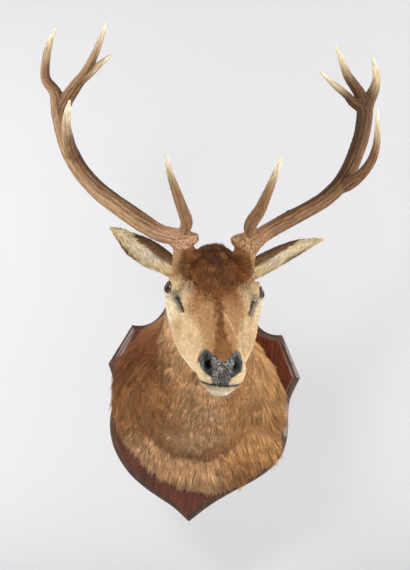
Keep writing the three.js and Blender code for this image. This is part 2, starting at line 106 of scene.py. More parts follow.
# Antler tones: base, darker upper part, ridges, grooves with painted shade on the upper inner side, foot,
# painted light on the lower outer side.
LEFT_ANTLER = {
    "side": -1,
    "tones": ("#755437", "#67472d", "#a9845f", "#3d2818", "#bd9276", "#b8966e"),
    "beam": [[-7, -5, -5, 24], [0, -4, 2, 28], [12, -3, 10, 21.5], [28, -4, 15, 16.5], [51, -9, 20, 16.5],
             [96, -30, 47, 18], [158, -75, 93, 17], [197, -105, 133, 16.5], [222, -126, 172, 16.5],
             [236, -138, 206, 16], [246, -144, 240, 16.5], [250, -144, 262, 16]],
    "brow": [[10, 6, 16, 9], [4, 26, 37, 11.5], [19, 55, 62, 10.4], [37, 90, 89, 8.2],
             [51, 118, 112, 5.6], [60, 144, 135, 2]],
    "trez": [[218, -122, 166, 10], [222, -98, 170, 13], [230, -70, 184, 11], [236, -45, 207, 9],
             [236, -28, 230, 6.2], [234, -19, 249, 2.4]],
    "outer": [[249, -144, 246, 16.5], [254, -144, 270, 15.5], [263, -143, 292, 12], [283, -140, 316, 9.8],
              [285, -128, 356, 8.2], [279, -114, 388, 5], [271, -105, 406, 2]],
    "inner": [[249, -144, 246, 16], [244, -142, 268, 15.5], [235, -139, 287, 13.5], [224, -133, 305, 12],
              [207, -118, 333, 9.6], [193, -95, 366, 7.4], [184, -76, 396, 4.8], [178, -62, 416, 2]],
    "third": [[222, -130, 306, 8], [210, -124, 319, 8.4], [197, -118, 332, 7.6],
              [181, -111, 349, 6], [162, -99, 366, 2]],
}
RIGHT_ANTLER = {
    "side": 1,
    # The right antler's tones are darker than the left's: a browner bone, and painted shade for the antler
    # turned away from the light.
    "tones": ("#6d4b30", "#41290f", "#8f6a49", "#372109", "#a07856", "#7d5b3c"),
    "beam": [[-7, -5, -5, 24], [0, -4, 3, 28], [12, -3, 14, 22], [28, -6, 26, 16], [46, -17, 41, 15.2],
             [80, -38, 66, 15.4], [121, -68, 95, 15], [158, -92, 124, 15.5], [188, -112, 158, 16],
             [208, -127, 195, 16], [222, -137, 235, 15.8], [231, -143, 270, 15.8],
             [234, -145, 306, 16], [233, -145, 330, 16.5]],
    "brow": [[10, 6, 18, 9], [5, 23, 41, 12.5], [15, 48, 63, 11.3], [22, 82, 88, 9.2],
             [28, 112, 115, 7], [34, 141, 147, 2.5]],
    "trez": [[190, -114, 152, 11], [204, -100, 160, 13], [223, -84, 177, 10.8], [237, -62, 202, 9.2],
             [240, -42, 230, 7.5], [236, -25, 260, 5.4], [231, -13, 290, 2]],
    "outer": [[234, -145, 316, 15], [240, -145, 338, 13.5], [249, -145, 361, 11], [252, -143, 383, 8.2],
              [247, -137, 403, 6.3], [239, -131, 421, 2.8]],
    "inner": [[232, -144, 316, 15], [227, -144, 336, 13.5], [219, -142, 351, 12], [209, -138, 362, 11],
              [191, -125, 378, 9.5], [173, -108, 403, 6], [156, -91, 427, 2]],
    "third": [[232, -144, 318, 11], [218, -141, 326, 11], [206, -137, 331, 9.8],
              [193, -129, 340, 8], [166, -115, 353, 6.6], [131, -96, 372, 2]],
}
PEDICLE = [[-8, 2, -44, 25], [0, -3, -12, 20], [5, -4, 5, 19]]

# Rows along the ear: along, up, across, half-width of the cup, curl of its edges.
LEFT_EAR = [
    [-66, 4, -56, 16, 1.3],
    [-82, 15, -80, 22, 1.15],
    [-98, 26, -112, 27.5, 0.9],
    [-112, 35, -143, 24.5, 0.7],
    [-123, 49, -170, 13.5, 0.55],
    [-130, 57, -188, 3, 0.4],
]
RIGHT_EAR = [
    [-66, 6, 56, 16, 1.3],
    [-82, 19, 80, 21, 1.15],
    [-98, 32, 114, 22, 0.9],
    [-112, 45, 149, 18.5, 0.7],
    [-123, 54, 181, 11.5, 0.55],
    [-130, 61, 207, 2.5, 0.4],
]
EAR_OPENING = (0.25, 0.88, -0.4)
EAR_SKIN = 4.4                   # thickness of the ear under its fur
EAR_ROLL = 5.0                   # how far the upper edge rolls over the inner face

SHIELD_RIGHT = [[38, -208], [81, -178], [123, -151], [152, -127], [172, -99], [181, -64],
                [180, -25], [181, 14], [198, 60]]
SHIELD_LEFT = [[-35, -221], [-66, -204], [-98, -186], [-131, -162], [-158, -131], [-176, -97],
               [-184, -55], [-180, 10], [-198, 60]]
SHIELD_TIP = [-4, -245]
SHOULDER = [155.3, 143]
SCOOP_TOP = [82, 210]
SHIELD_TOP = 242
SHIELD_PROFILE = [[0, 9.6], [0.6, 10.5], [2.2, 11.6], [4, 13.4], [5.6, 14.7], [7.4, 15.5],
                  [9, 16], [9.8, 18.2], [10.8, 20], [12, 21.4], [13.4, BOARD_FRONT]]

SHIELD_BACK = -0.2               # the back stays this far clear of the wall's plane
SHIELD_CREASE = math.radians(28)
MOULDING_SHEEN_TINT = (0.7, 1.6, 2.6)  # painted sheen: the moulding is tinted a greyer brown than the face
ANTLERS = (LEFT_ANTLER, RIGHT_ANTLER)

# ---- numbers and places

# In past(), upto() and bell(), starts and widths are millimetres unless the value is a share.


def unit(v):
    return v / np.maximum(np.linalg.norm(v, axis=-1, keepdims=True), 1e-9)


def smooth(t):
    """A soft step from 0 to 1 while t goes from 0 to 1."""
    t = np.clip(t, 0, 1)
    return t * t * (3 - 2 * t)


def past(value, start, width):
    """0 below start, 1 from a width above it."""
    return smooth((value - start) / width)


def upto(value, end, width):
    """1 until a width below end, 0 from end on."""
    return smooth((end - value) / width)


def bell(d, width):
    return np.exp(-(d / width) ** 2)


def rows_at(rows, t):
    """Catmull-Rom through rows of numbers, for an array of places t."""
    rows = np.asarray(rows, float)
    t = np.clip(np.asarray(t, float), 0, len(rows) - 1)
    i = np.minimum(t.astype(int), len(rows) - 2)
    f = (t - i)[..., None]
    before, here = rows[np.maximum(i - 1, 0)], rows[i]
    after, last = rows[i + 1], rows[np.minimum(i + 2, len(rows) - 1)]
    m0, m1 = (after - before) / 2, (last - here) / 2
    a = 2 * here - 2 * after + m0 + m1
    b = -3 * here + 3 * after - 2 * m0 - m1
    return ((a * f + b) * f + m0) * f + here


def turned(across, out, up):
    """Straight-ahead coordinates to the turned and tilted pose."""
    tilt = TILT * smooth((out - TILT_FROM) / TILT_OVER)
    rise = up - TILT_HEIGHT
    x = across * np.cos(tilt) + rise * np.sin(tilt)
    z = TILT_HEIGHT + rise * np.cos(tilt) - across * np.sin(tilt)
    angle = TURN * np.clip((out - TURN_START) / (TURN_END - TURN_START), 0, 1)
    radius = (TURN_END - TURN_START) / TURN
    beyond = np.maximum(out - TURN_END, 0)
    cx = radius * (1 - np.cos(angle)) + beyond * np.sin(angle)
    cy = np.minimum(out, TURN_START) + radius * np.sin(angle) + beyond * np.cos(angle)
    return np.stack([cx + x * np.cos(angle), -cy + x * np.sin(angle), z], -1)


def straight(points):
    """The other way: points of the pose to (across, out, up)."""
    x, y, z = points[..., 0], -points[..., 1], points[..., 2]
    radius = (TURN_END - TURN_START) / TURN
    angle = np.clip(np.arctan2(y - TURN_START, radius - x), 0, TURN)
    cx = radius * (1 - np.cos(angle))
    cy = TURN_START + radius * np.sin(angle)
    ahead = (x - cx) * np.sin(angle) + (y - cy) * np.cos(angle)
    side = (x - cx) * np.cos(angle) - (y - cy) * np.sin(angle)
    out = TURN_START + angle * radius + ahead
    tilt = TILT * smooth((out - TILT_FROM) / TILT_OVER)
    rise = z - TILT_HEIGHT
    across = side * np.cos(tilt) - rise * np.sin(tilt)
    return across, out, TILT_HEIGHT + side * np.sin(tilt) + rise * np.cos(tilt)


def out_and_up(along, up):
    out = EYE_DEPTH + along * math.cos(PITCH) + up * math.sin(PITCH)
    return out, EYE_HEIGHT - along * math.sin(PITCH) + up * math.cos(PITCH)


def on_head(along, up, across):
    out, height = out_and_up(np.asarray(along, float), np.asarray(up, float))
    return turned(np.asarray(across, float), out, height)


def places(points):
    """Where points are: out and up, then head coordinates a (along), b (up) and c (across)."""
    across, out, up = straight(points)
    a = (out - EYE_DEPTH) * math.cos(PITCH) - (up - EYE_HEIGHT) * math.sin(PITCH)
    b = (out - EYE_DEPTH) * math.sin(PITCH) + (up - EYE_HEIGHT) * math.cos(PITCH)
    return out, up, a, b, across


HEAD_ORIGIN = on_head(0, 0, 0)
HEAD_A = on_head(1, 0, 0) - HEAD_ORIGIN
HEAD_B = on_head(0, 1, 0) - HEAD_ORIGIN
HEAD_C = on_head(0, 0, 1) - HEAD_ORIGIN
AHEAD = np.array([math.sin(TURN), -math.cos(TURN), 0])
TO_RIGHT = np.array([math.cos(TURN), math.sin(TURN), 0])
UP = np.array([0, 0, 1.0])


def waves(points, size, seed):
    """Soft seeded noise of about -1 to 1 with bumps of about one size."""
    count = 8
    rng = np.random.default_rng(seed)
    directions = unit(rng.normal(size=(count, 3))) * (2 * math.pi / size)
    directions *= rng.uniform(0.6, 1.5, (count, 1))
    phases = rng.uniform(0, 2 * math.pi, count)
    return np.sin(points @ directions.T + phases).sum(-1) / math.sqrt(count)


def linear(code):
    """A colour code such as '#8a5c3b' as linear red, green and blue."""
    parts = np.array([int(code[i:i + 2], 16) for i in (1, 3, 5)]) / 255
    return np.where(parts <= 0.04045, parts / 12.92, ((parts + 0.055) / 1.055) ** 2.4)


def painted(base, *coats):
    """A colour code or colours, with coats of (code, mask) laid over in turn."""
    colours = np.tile(linear(base), (len(coats[0][1]), 1)) if isinstance(base, str) else base
    for code, mask in coats:
        colours = colours + (linear(code) - colours) * np.clip(mask, 0, 1)[:, None]
    return colours


def tree_of(points):
    """A search tree over points, each under its own number."""
    tree = KDTree(len(points))
    for i, p in enumerate(points.tolist()):
        tree.insert(p, i)
    tree.balance()
    return tree


def nearest(tree, points):
    """The number of the tree's nearest point, for each point."""
    return [tree.find(p)[1] for p in points.tolist()]


# ---- meshes


def new_mesh(name, points, faces):
    """A mesh from millimetre points and one array of faces with equal corner counts."""
    mesh = bpy.data.meshes.new(name)
    faces = np.asarray(faces, np.int32)
    mesh.vertices.add(len(points))
    mesh.vertices.foreach_set("co", (np.asarray(points) / 1000).astype(np.float32).ravel())
    mesh.loops.add(faces.size)
    mesh.loops.foreach_set("vertex_index", faces.ravel())
    mesh.polygons.add(len(faces))
    mesh.polygons.foreach_set("loop_start", np.arange(len(faces), dtype=np.int32) * faces.shape[1])
    mesh.update(calc_edges=True)
    return mesh


def new_object(name, mesh, material=None):
    thing = bpy.data.objects.new(name, mesh)
    bpy.context.scene.collection.objects.link(thing)
    if material:
        mesh.materials.append(material)
    return thing


def values_of(collection, key, width=1, kind=np.int32):
    """One value of every element of a mesh's collection, in rows of a width."""
    values = np.empty(len(collection) * width, kind)
    collection.foreach_get(key, values)
    return values.reshape(-1, width) if width > 1 else values


def points_of(mesh):
    return values_of(mesh.vertices, "co", 3, np.float32).astype(float) * 1000


def normals_of(mesh):
    return values_of(mesh.vertex_normals, "vector", 3, np.float32).astype(float)


def edges_of(mesh):
    return values_of(mesh.edges, "vertices", 2)


def triangles_of(mesh):
    mesh.calc_loop_triangles()
    return values_of(mesh.loop_triangles, "vertices", 3)


def set_points(mesh, points):
    mesh.vertices.foreach_set("co", (points / 1000).astype(np.float32).ravel())
    mesh.update()


def set_smooth(mesh):
    mesh.polygons.foreach_set("use_smooth", np.ones(len(mesh.polygons), bool))


def set_colours(mesh, colours):
    layer = mesh.color_attributes.new("marking", "FLOAT_COLOR", "POINT")
    rgba = np.ones((len(colours), 4), np.float32)
    rgba[:, :3] = colours
    layer.data.foreach_set("color", rgba.ravel())


def grid_triangles(rings, count):
    """Triangles through a stack of closed rings."""
    r, i = np.meshgrid(np.arange(rings - 1), np.arange(count), indexing="ij")
    j = (i + 1) % count
    quads = np.stack([r * count + i, r * count + j, (r + 1) * count + j, (r + 1) * count + i], -1)
    quads = quads.reshape(-1, 4)
    return np.concatenate([quads[:, [0, 1, 2]], quads[:, [0, 2, 3]]])


def grid_marks(*values):
    """One row of marks for each point of a stack of rings, from values that spread over it."""
    return np.stack(np.broadcast_arrays(*values), -1).reshape(-1, len(values))


def closed_stack(rings):
    """Points and triangles of a closed skin through rings, with a point at each end."""
    count = rings.shape[1]
    points = np.concatenate([rings.reshape(-1, 3), rings[:1].mean(1), rings[-1:].mean(1)])
    i = np.arange(count)
    j = (i + 1) % count
    start, end = len(points) - 2, len(points) - 1
    base = (len(rings) - 1) * count
    caps = np.concatenate([np.stack([np.full(count, start), j, i], 1),
                           np.stack([np.full(count, end), base + i, base + j], 1)])
    return points, outwards(points, np.concatenate([grid_triangles(len(rings), count), caps]))


def outwards(points, tris):
    """The same triangles, turned round if they make an inside-out skin."""
    p, q, r = points[tris[:, 0]], points[tris[:, 1]], points[tris[:, 2]]
    if np.einsum("ij,ij->i", p, np.cross(q, r)).sum() < 0:
        return tris[:, ::-1]
    return tris


def joined(parts):
    """Several (points, triangles) as one."""
    first = 0
    points, tris = [], []
    for p, t in parts:
        points.append(p)
        tris.append(t + first)
        first += len(p)
    return np.concatenate(points), np.concatenate(tris)


def tube(rows, sides, rings):
    """Rings of a tapered tube through rows of (x, y, z, radius), with places and angles."""
    rows = np.asarray(rows, float)
    t = np.linspace(0, len(rows) - 1, rings)
    at = rows_at(rows, t)
    ahead = unit(rows_at(rows, t + 0.02)[:, :3] - rows_at(rows, t - 0.02)[:, :3])
    angle = np.arange(sides) / sides * 2 * math.pi
    across = np.array([0.0, 1.0, 0.0])
    stack = []
    for centre, along in zip(at, ahead):
        across = unit(across - along * (across @ along))
        other = np.cross(along, across)
        spokes = np.outer(np.cos(angle), across) + np.outer(np.sin(angle), other)
        stack.append(centre[:3] + spokes * centre[3])
    return np.array(stack), t, angle


def evaluated(name, thing):
    """The mesh of an object with its modifiers applied; the object is removed."""
    depsgraph = bpy.context.evaluated_depsgraph_get()
    mesh = bpy.data.meshes.new_from_object(thing.evaluated_get(depsgraph))
    mesh.name = name
    bpy.data.objects.remove(thing)
    return mesh


def remeshed(name, parts, voxel):
    """One even skin round several closed skins."""
    points, tris = joined(parts)
    thing = new_object(name, new_mesh(name, points, tris))
    modifier = thing.modifiers.new("remesh", "REMESH")
    modifier.mode = "VOXEL"
    modifier.voxel_size = voxel / 1000
    return evaluated(name, thing)


def thinned(name, mesh, chosen, triangles):
    """The mesh with fewer faces round the chosen points, down to a number of triangles."""
    thing = new_object(name, mesh)
    group = thing.vertex_groups.new(name="chosen")
    group.add(np.flatnonzero(chosen).tolist(), 1.0, "REPLACE")
    mesh.calc_loop_triangles()
    modifier = thing.modifiers.new("thin", "DECIMATE")
    modifier.ratio = min(triangles / len(mesh.loop_triangles), 1)
    modifier.vertex_group = "chosen"
    return evaluated(name, thing)


def relaxed(points, edges, times, share=0.5):
    """Points moved towards the mean of their neighbours, a few times."""
    count = np.maximum(np.bincount(edges.ravel(), minlength=len(points)), 1)[:, None]
    for _ in range(times):
        total = np.zeros_like(points)
        for k in range(3):
            total[:, k] = np.bincount(edges[:, 0], points[edges[:, 1], k], len(points))
            total[:, k] += np.bincount(edges[:, 1], points[edges[:, 0], k], len(points))
        points = points + (total / count - points) * share
    return points


# ---- body


def body_rows():
    rows = [list(row) for row in NECK_ROWS]
    for a0, b0, a1, b1, *widths in HEAD_ROWS:
        top, low = out_and_up(a0, b0), out_and_up(a1, b1)
        rows.append([*top, *low, *widths, 0])
    return rows


def body_rings(per_span, around):
    """The coat's outer form as rings of points, before the skin is drawn in."""
    rows = body_rows()
    steps = (len(rows) - 1) * per_span + 1
    row = rows_at(rows, np.linspace(0, len(rows) - 1, steps))
    angle = np.arange(around) / around * 2 * math.pi
    level = (1 - np.cos(angle)) / 2
    rounding = (4 * level * (1 - level)) ** ROUNDING
    i = np.clip(np.searchsorted(SIDE_LEVELS, level) - 1, 0, 2)
    levels = np.array(SIDE_LEVELS)
    t = smooth((level - levels[i]) / (levels[i + 1] - levels[i]))
    width = row[:, 4 + i] * (1 - t) + row[:, 5 + i] * t
    up = row[:, 1:2] + (row[:, 3:4] - row[:, 1:2]) * level
    out = row[:, 0:1] + (row[:, 2:3] - row[:, 0:1]) * level
    side = np.where(np.abs(np.sin(angle)) < 1e-6, 0, np.sign(np.sin(angle)))
    return turned(side * rounding * width + row[:, 8:9] * up, out, up)


def ring_normals(rings):
    """Outward normals of a stack of rings."""
    along = np.gradient(rings, axis=0)
    around = (np.roll(rings, -1, 1) - np.roll(rings, 1, 1)) / 2
    normals = unit(np.cross(along, around))
    inside = np.einsum("rij,rij->ri", normals, rings - rings.mean(1, keepdims=True)).sum() < 0
    return -normals if inside else normals


def forehead(a, b, c):
    """The curly patch between the burrs: 1 inside, 0 outside."""
    half = np.interp(a, [-60, -45, -19, 13, 50, 84, 108], [50, 54, 62, 54, 38, 20, 9])
    return smooth((half - np.abs(c)) / 24 + 0.5) * past(b, 4, 18) * upto(a, 110, 80)


def before_jaw(a, b):
    """1 on the head, 0 on the neck; they meet on a line from the poll to behind the jaw."""
    line = NECK_LINE_TOP + (NECK_LINE_UP - b) * NECK_LINE_SLOPE
    return smooth((a - line + 8) / 26)


def coat_depth(points):
    """How deep the skin lies under the tips of the coat."""
    out, up, a, b, c = places(points)
    rim = upto(out, 82, 40)
    neck = 15 + 17 * rim * upto(up, -70, 70) + 3 * rim * smooth((np.abs(c) - 80) / 60)
    depth = neck + (2.4 - neck) * before_jaw(a, b)
    depth = depth + 9 * forehead(a, b, c) * before_jaw(a, b) * burr_room(points)
    return depth + (1.0 - depth) * past(a, 196, 14)


def ear_frame(table, t):
    """Centre, direction, opening and width of an ear at places t along it."""
    side = math.copysign(1, table[0][2])
    opening = TO_RIGHT * side * EAR_OPENING[0] + AHEAD * EAR_OPENING[1] + UP * EAR_OPENING[2]
    span = len(table) - 1

    def centre_at(place):
        row = rows_at(table, np.clip(place, 0, span))
        return on_head(row[..., 0], row[..., 1], row[..., 2])

    along = unit(centre_at(t + 0.05) - centre_at(t - 0.05))
    opened = unit(opening - along * (along @ opening)[:, None])
    return centre_at(t), along, opened, np.cross(along, opened)


def roll_edge(t):
    """Where the rolled upper edge of an ear ends, from -1 (lower edge) to 1, at t of its length."""
    return np.interp(t, [0, 0.15, 0.35, 0.5, 0.62, 0.72, 1], [0.05, 0.12, 0.2, 0.45, 0.85, 1.25, 1.3])


def ear_rings(table, per_span, cells):
    """The ear's shell as closed rings: its back, then its inner face."""
    t = np.linspace(0, len(table) - 1, (len(table) - 1) * per_span + 1)
    centre, _, opened, wide = ear_frame(table, t)
    row = rows_at(table, t)
    half_width, curl = row[:, 3], row[:, 4]
    radius = half_width / np.sin(curl)
    thin = np.minimum(EAR_SKIN / 2, half_width * 0.5)
    v = np.concatenate([np.linspace(-1, 1, cells), np.linspace(1, -1, cells)[1:-1]])
    face = np.concatenate([np.ones(cells), -np.ones(cells - 2)])
    edge = np.sqrt(np.maximum(1 - np.abs(v) ** 6, 0))
    r = radius[:, None] + face * thin[:, None] * edge
    top = v * (1 if table[0][2] < 0 else -1)
    low = roll_edge(t / t[-1])[:, None]
    rolled = smooth((top - low + 0.16) / 0.16) * np.clip((1 - top) / np.maximum(1 - low, 0.05), 0, 1)
    r = r - EAR_ROLL * rolled * (face < 0) * np.minimum(half_width / 16, 1)[:, None]
    angle = v * (curl * 0.97)[:, None]
    ring = centre[:, None] + wide[:, None] * (r * np.sin(angle))[..., None]
    ring = ring + opened[:, None] * (radius[:, None] - r * np.cos(angle))[..., None]
    return ring, t, v, face


def antler_place(side, rows):
    """Antler coordinates (outward, forward, up, radius) to points of the pose."""
    base = on_head(BURR[0], BURR[1], side * BURR[2])
    rows = np.asarray(rows, float)
    at = base + TO_RIGHT * side * rows[:, 0:1] + AHEAD * rows[:, 1:2] + UP * rows[:, 2:3]
    return np.concatenate([at, rows[:, 3:4]], 1)


# Nostrils: a deep round hole and a comma that runs up and back from it.
NOSE_MIDDLE = -2.5
NOSTRIL_HOLE = [[250, -34, 25, 7.0], [238, -33, 26, 6.6], [222, -35, 22, 5.6], [204, -38, 17, 4.4]]
NOSTRIL_COMMA = [[238, -40, 25, 5], [231, -35, 26, 6.8], [221, -29, 26, 7.0], [210, -25, 26, 6.0],
                 [199, -24, 25, 3.6]]
SKIN_VOXEL = 2.4
PIECE_TRIANGLES = 190000         # most for one piece; the neck's skin is thinned for it
SKIN_RINGS = (8, 144)            # rings in each span between rows, and points round a ring
EAR_RINGS = (14, 26)


def body_skin():
    """The flesh as one closed even skin, with anchors and their marks.

    A mark is: 0 for the body or the number of the ear, place along, place round, and for
    an ear 1 on its back and -1 on its inner face.
    """
    rings = body_rings(*SKIN_RINGS)
    start = rings[:1].copy()
    depth = coat_depth(rings.reshape(-1, 3)).reshape(rings.shape[:2])
    rings = rings - ring_normals(rings) * depth[..., None]
    rings[0, :, 1] = start[0, :, 1]
    points, tris = closed_stack(rings)
    points[-1] = on_head(NOSE_END[0] - 1, NOSE_END[1], 0)
    body = new_object("body_form", new_mesh("body_form", points, tris))
    cutters = []
    for side in (-1, 1):
        for rows in (NOSTRIL_HOLE, NOSTRIL_COMMA):
            at = [[*on_head(a, b, NOSE_MIDDLE + side * c), r] for a, b, c, r in rows]
            stack, _, _ = tube(at, 20, 16)
            thing = new_object("cutter", new_mesh("cutter", *closed_stack(stack)))
            modifier = body.modifiers.new("cut", "BOOLEAN")
            modifier.operation = "DIFFERENCE"
            modifier.solver = "EXACT"
            modifier.object = thing
            cutters.append(thing)
    cut = evaluated("body_cut", body)
    for thing in cutters:
        bpy.data.objects.remove(thing)
    parts = [(points_of(cut), triangles_of(cut))]

    count, around = rings.shape[:2]
    marks = [grid_marks(0, np.arange(count)[:, None] / (count - 1), np.arange(around) / around, 0)]
    anchors = [rings.reshape(-1, 3)]
    for number, table in ((1, LEFT_EAR), (2, RIGHT_EAR)):
        ear, t, v, face = ear_rings(table, *EAR_RINGS)
        parts.append(closed_stack(ear))
        anchors.append(ear.reshape(-1, 3))
        marks.append(grid_marks(number, t[:, None] / t[-1], v, face))
    for antler in ANTLERS:
        stack, _, _ = tube(antler_place(antler["side"], PEDICLE), 32, 12)
        parts.append(closed_stack(stack))
    mesh = remeshed("skin", parts, SKIN_VOXEL)
    return mesh, np.concatenate(anchors), np.concatenate(marks)


def refine(mesh, chosen):
    """Splits the faces round the chosen points once more."""
    work = bmesh.new()
    work.from_mesh(mesh)
    work.verts.ensure_lookup_table()
    edges = [e for e in work.edges if chosen[e.verts[0].index] and chosen[e.verts[1].index]]
    bmesh.ops.subdivide_edges(work, edges=edges, cuts=1, use_grid_fill=True)
    work.to_mesh(mesh)
    work.free()
    mesh.update()


def nearest_marks(points, anchors, marks):
    """The marks of the nearest anchor for each point."""
    return marks[nearest(tree_of(anchors), points)]


# ---- face

EYE_AXIS = unit(np.array([0.36, 0.34, 0.87]))        # along, up, outwards
EYE_SLIT = np.array([-0.95, 0.16, 0.0])              # inner to outer corner, roughly
EYE_SLIT = unit(EYE_SLIT - EYE_AXIS * (EYE_SLIT @ EYE_AXIS))
EYE_RISE = np.cross(EYE_SLIT, EYE_AXIS)
OPENING_INNER = 11.5
OPENING_OUTER = 14.5
OPENING_ABOVE = 9.0
OPENING_BELOW = 8.0
LID = 1.9
TEAR_GROOVE = ((27, -4), (61, -16))                    # along, up
TEAR_CORNER = ((12, 3), (34, -6))
TEAR_ACROSS = 35                 # the groove lies further than this from the middle
MOUTH_BACK = 150
PEBBLE = 4.6
PEBBLE_BOX = ((176, 256), (-84, -8), (-44, 44))
NOSE_SLOPE = math.radians(24)
# Swellings: height, spread, how far from the middle they begin, line (along, up) they follow.
SWELLINGS = [
    (3.0, 13, 40, ((-4, 25), (-4, 25))),               # brow
    (2.6, 9, 40, ((22, -24), (-55, -20))),             # bone below the eye
    (3.0, 30, 30, ((-8, -68), (-8, -68))),             # muscle of the jaw
    (-2.8, 13, 20, ((72, -26), (168, -34))),           # hollow of the cheek
    (1.8, 7, 12, ((60, 14), (190, -14))),              # edge of the bridge
]


def segment_distance(x, y, ends):
    """Distance to a line between two ends, and the nearest place on it from 0 to 1."""
    (x0, y0), (x1, y1) = ends
    dx, dy = x1 - x0, y1 - y0
    t = np.clip(((x - x0) * dx + (y - y0) * dy) / max(dx * dx + dy * dy, 1e-9), 0, 1)
    return np.hypot(x - x0 - t * dx, y - y0 - t * dy), t


def mouth_height(a, c):
    """Height of the line of the mouth."""
    return -67.0 - 7.0 * upto(a, 238, 42) + 2.0 * smooth(np.abs(c) / 34)


def nose_plane(a, b):
    """Height in the front view of the nose."""
    return b * math.cos(NOSE_SLOPE) - a * math.sin(NOSE_SLOPE)


def nose_pad(a, b, c):
    """The bare leathery pad between and round the nostrils."""
    q = nose_plane(a, b)
    across = np.abs(c - NOSE_MIDDLE)
    half = np.interp(q, [-160, -152, -143, -137, -132, -125, -116, -106, -100, -96],
                     [14, 14.5, 17, 25, 32.5, 35.5, 36, 35.5, 32, 25])
    notch = -115 + 17 * np.clip((across - 4) / 18, 0, 1)
    in_front = smooth((half - across) / 3 + 0.5) * smooth((notch - q) / 3 + 0.5)
    return in_front * past(a, 176, 12) * smooth((b - mouth_height(a, c)) / 1.5)


def nose_middle(a, b, c):
    """The pebbled part of the pad, between and below the nostrils."""
    across = np.abs(c - NOSE_MIDDLE)
    return nose_pad(a, b, c) * upto(across, 20, 7)


def creases(a, b, c):
    """1 between the pebbles of the nose pad, 0 on them; pebbles are about PEBBLE wide."""
    found = np.zeros(len(a))
    near = np.flatnonzero(nose_middle(a, b, c) > 0)
    rng = np.random.default_rng(8)
    lattice = np.stack(np.meshgrid(*(np.arange(low, high, PEBBLE) for low, high in PEBBLE_BOX)), -1)
    seeds = lattice.reshape(-1, 3)
    seeds = seeds + rng.uniform(-0.42, 0.42, seeds.shape) * PEBBLE
    tree = tree_of(seeds)
    for i in near:
        first, second = tree.find_n((a[i], b[i], c[i]), 2)
        found[i] = second[2] - first[2]
    found[near] = smooth((0.85 - found[near]) / 0.7)
    return found


def eye_places(a, b, c, side):
    """Places round an eyeball: arc lengths along and above its slit, facing and distance."""
    d = np.stack([a, b, side * c - EYE_ACROSS], -1)
    distance = np.linalg.norm(d, axis=-1)
    u = d / np.maximum(distance, 1e-6)[:, None]
    facing = u @ EYE_AXIS
    slit = np.arctan2(u @ EYE_SLIT, facing) * EYE_RADIUS
    height = np.arcsin(np.clip(u @ EYE_RISE, -1, 1)) * EYE_RADIUS
    return slit, height, facing, distance


def lid_height(slit, above):
    """Height of the lid's edge over the slit line."""
    x = np.clip(slit / np.where(slit < 0, OPENING_INNER, OPENING_OUTER), -1, 1)
    arch = 1 - np.abs(x) ** 2.3
    return np.where(above, OPENING_ABOVE, -OPENING_BELOW) * np.maximum(arch, 0) ** 0.8


def beyond_lids(slit, height):
    """How far places on the eyeball lie outside the opening of the lids; 0 inside it."""
    reach = np.where(slit < 0, OPENING_INNER, OPENING_OUTER)
    edge = np.abs(lid_height(slit, height > 0))
    return np.hypot(np.maximum(np.abs(slit) - reach, 0), np.maximum(np.abs(height) - edge, 0))


def round_eye(a, b, c, side):
    """Place along the slit, distance outside the lids, and which points are near an eye."""
    slit, height, facing, distance = eye_places(a, b, c, side)
    return slit, beyond_lids(slit, height), (facing > 0.1) & (side * c > 30) & (distance < 34)


def sculpted(points, normals, body):
    """Skin points with sockets, lids, brow, cheeks, tear grooves and mouth formed."""
    out, _, a, b, c = places(points)
    wide = np.abs(c)
    on_face = body * smooth((out - HEAD_RIGID) / 20)
    push = np.zeros(len(points))
    for height, spread, begin, ends in SWELLINGS:
        push += height * bell(segment_distance(a, b, ends)[0], spread) * (wide > begin)
    groove, t = segment_distance(a, b, TEAR_GROOVE)
    push -= 2.2 * bell(groove, 2.2) * smooth(t * 6 + 0.4) * (wide > TEAR_ACROSS)
    push += 0.8 * bell(groove - 6, 3.0) * (wide > TEAR_ACROSS)
    line = b - mouth_height(a, c)
    along_mouth = smooth((a - MOUTH_BACK) / 14)
    push -= 5.0 * bell(line, 1.7) * along_mouth
    push += 1.5 * bell(line - 5.5, 4) * along_mouth + 1.2 * bell(line + 5, 4) * along_mouth
    cleft = 1.6 * bell(c - NOSE_MIDDLE, 1.6) * past(a, 214, 10) * upto(b, -44, 8)
    push -= cleft * past(line, 1, 3)
    rim = np.hypot((a - 226) / 1.35, b + 34)
    push += 1.6 * bell(rim - 11, 3.5) * (np.abs(c - NOSE_MIDDLE) > 22)
    push += waves(points, 2.6, 62) * 0.06 * nose_pad(a, b, c)
    push += (0.5 - 0.9 * creases(a, b, c)) * nose_middle(a, b, c)
    push += forehead(a, b, c) * waves(points, 16, 63) * 1.2
    points = points + normals * (push * on_face)[:, None]

    _, _, a, b, c = places(points)
    for side in (-1, 1):
        slit, height, facing, distance = eye_places(a, b, c, side)
        centre = on_head(0, 0, side * EYE_ACROSS)
        outside = beyond_lids(slit, height)
        inside = (outside == 0) & (facing > 0.3)
        lid = EYE_RADIUS + LID - 0.9 * bell(outside - 5.5, 1.3) * (height > 0)
        target = np.where(inside, np.minimum(distance, EYE_RADIUS - 2.6), np.maximum(distance, lid))
        share = np.where(inside | (distance < lid), 1, upto(outside, 16, 12)) * (side * c > 30)
        moved = distance + (target - distance) * share
        points = centre + (points - centre) * (moved / np.maximum(distance, 1e-6))[:, None]
    return points


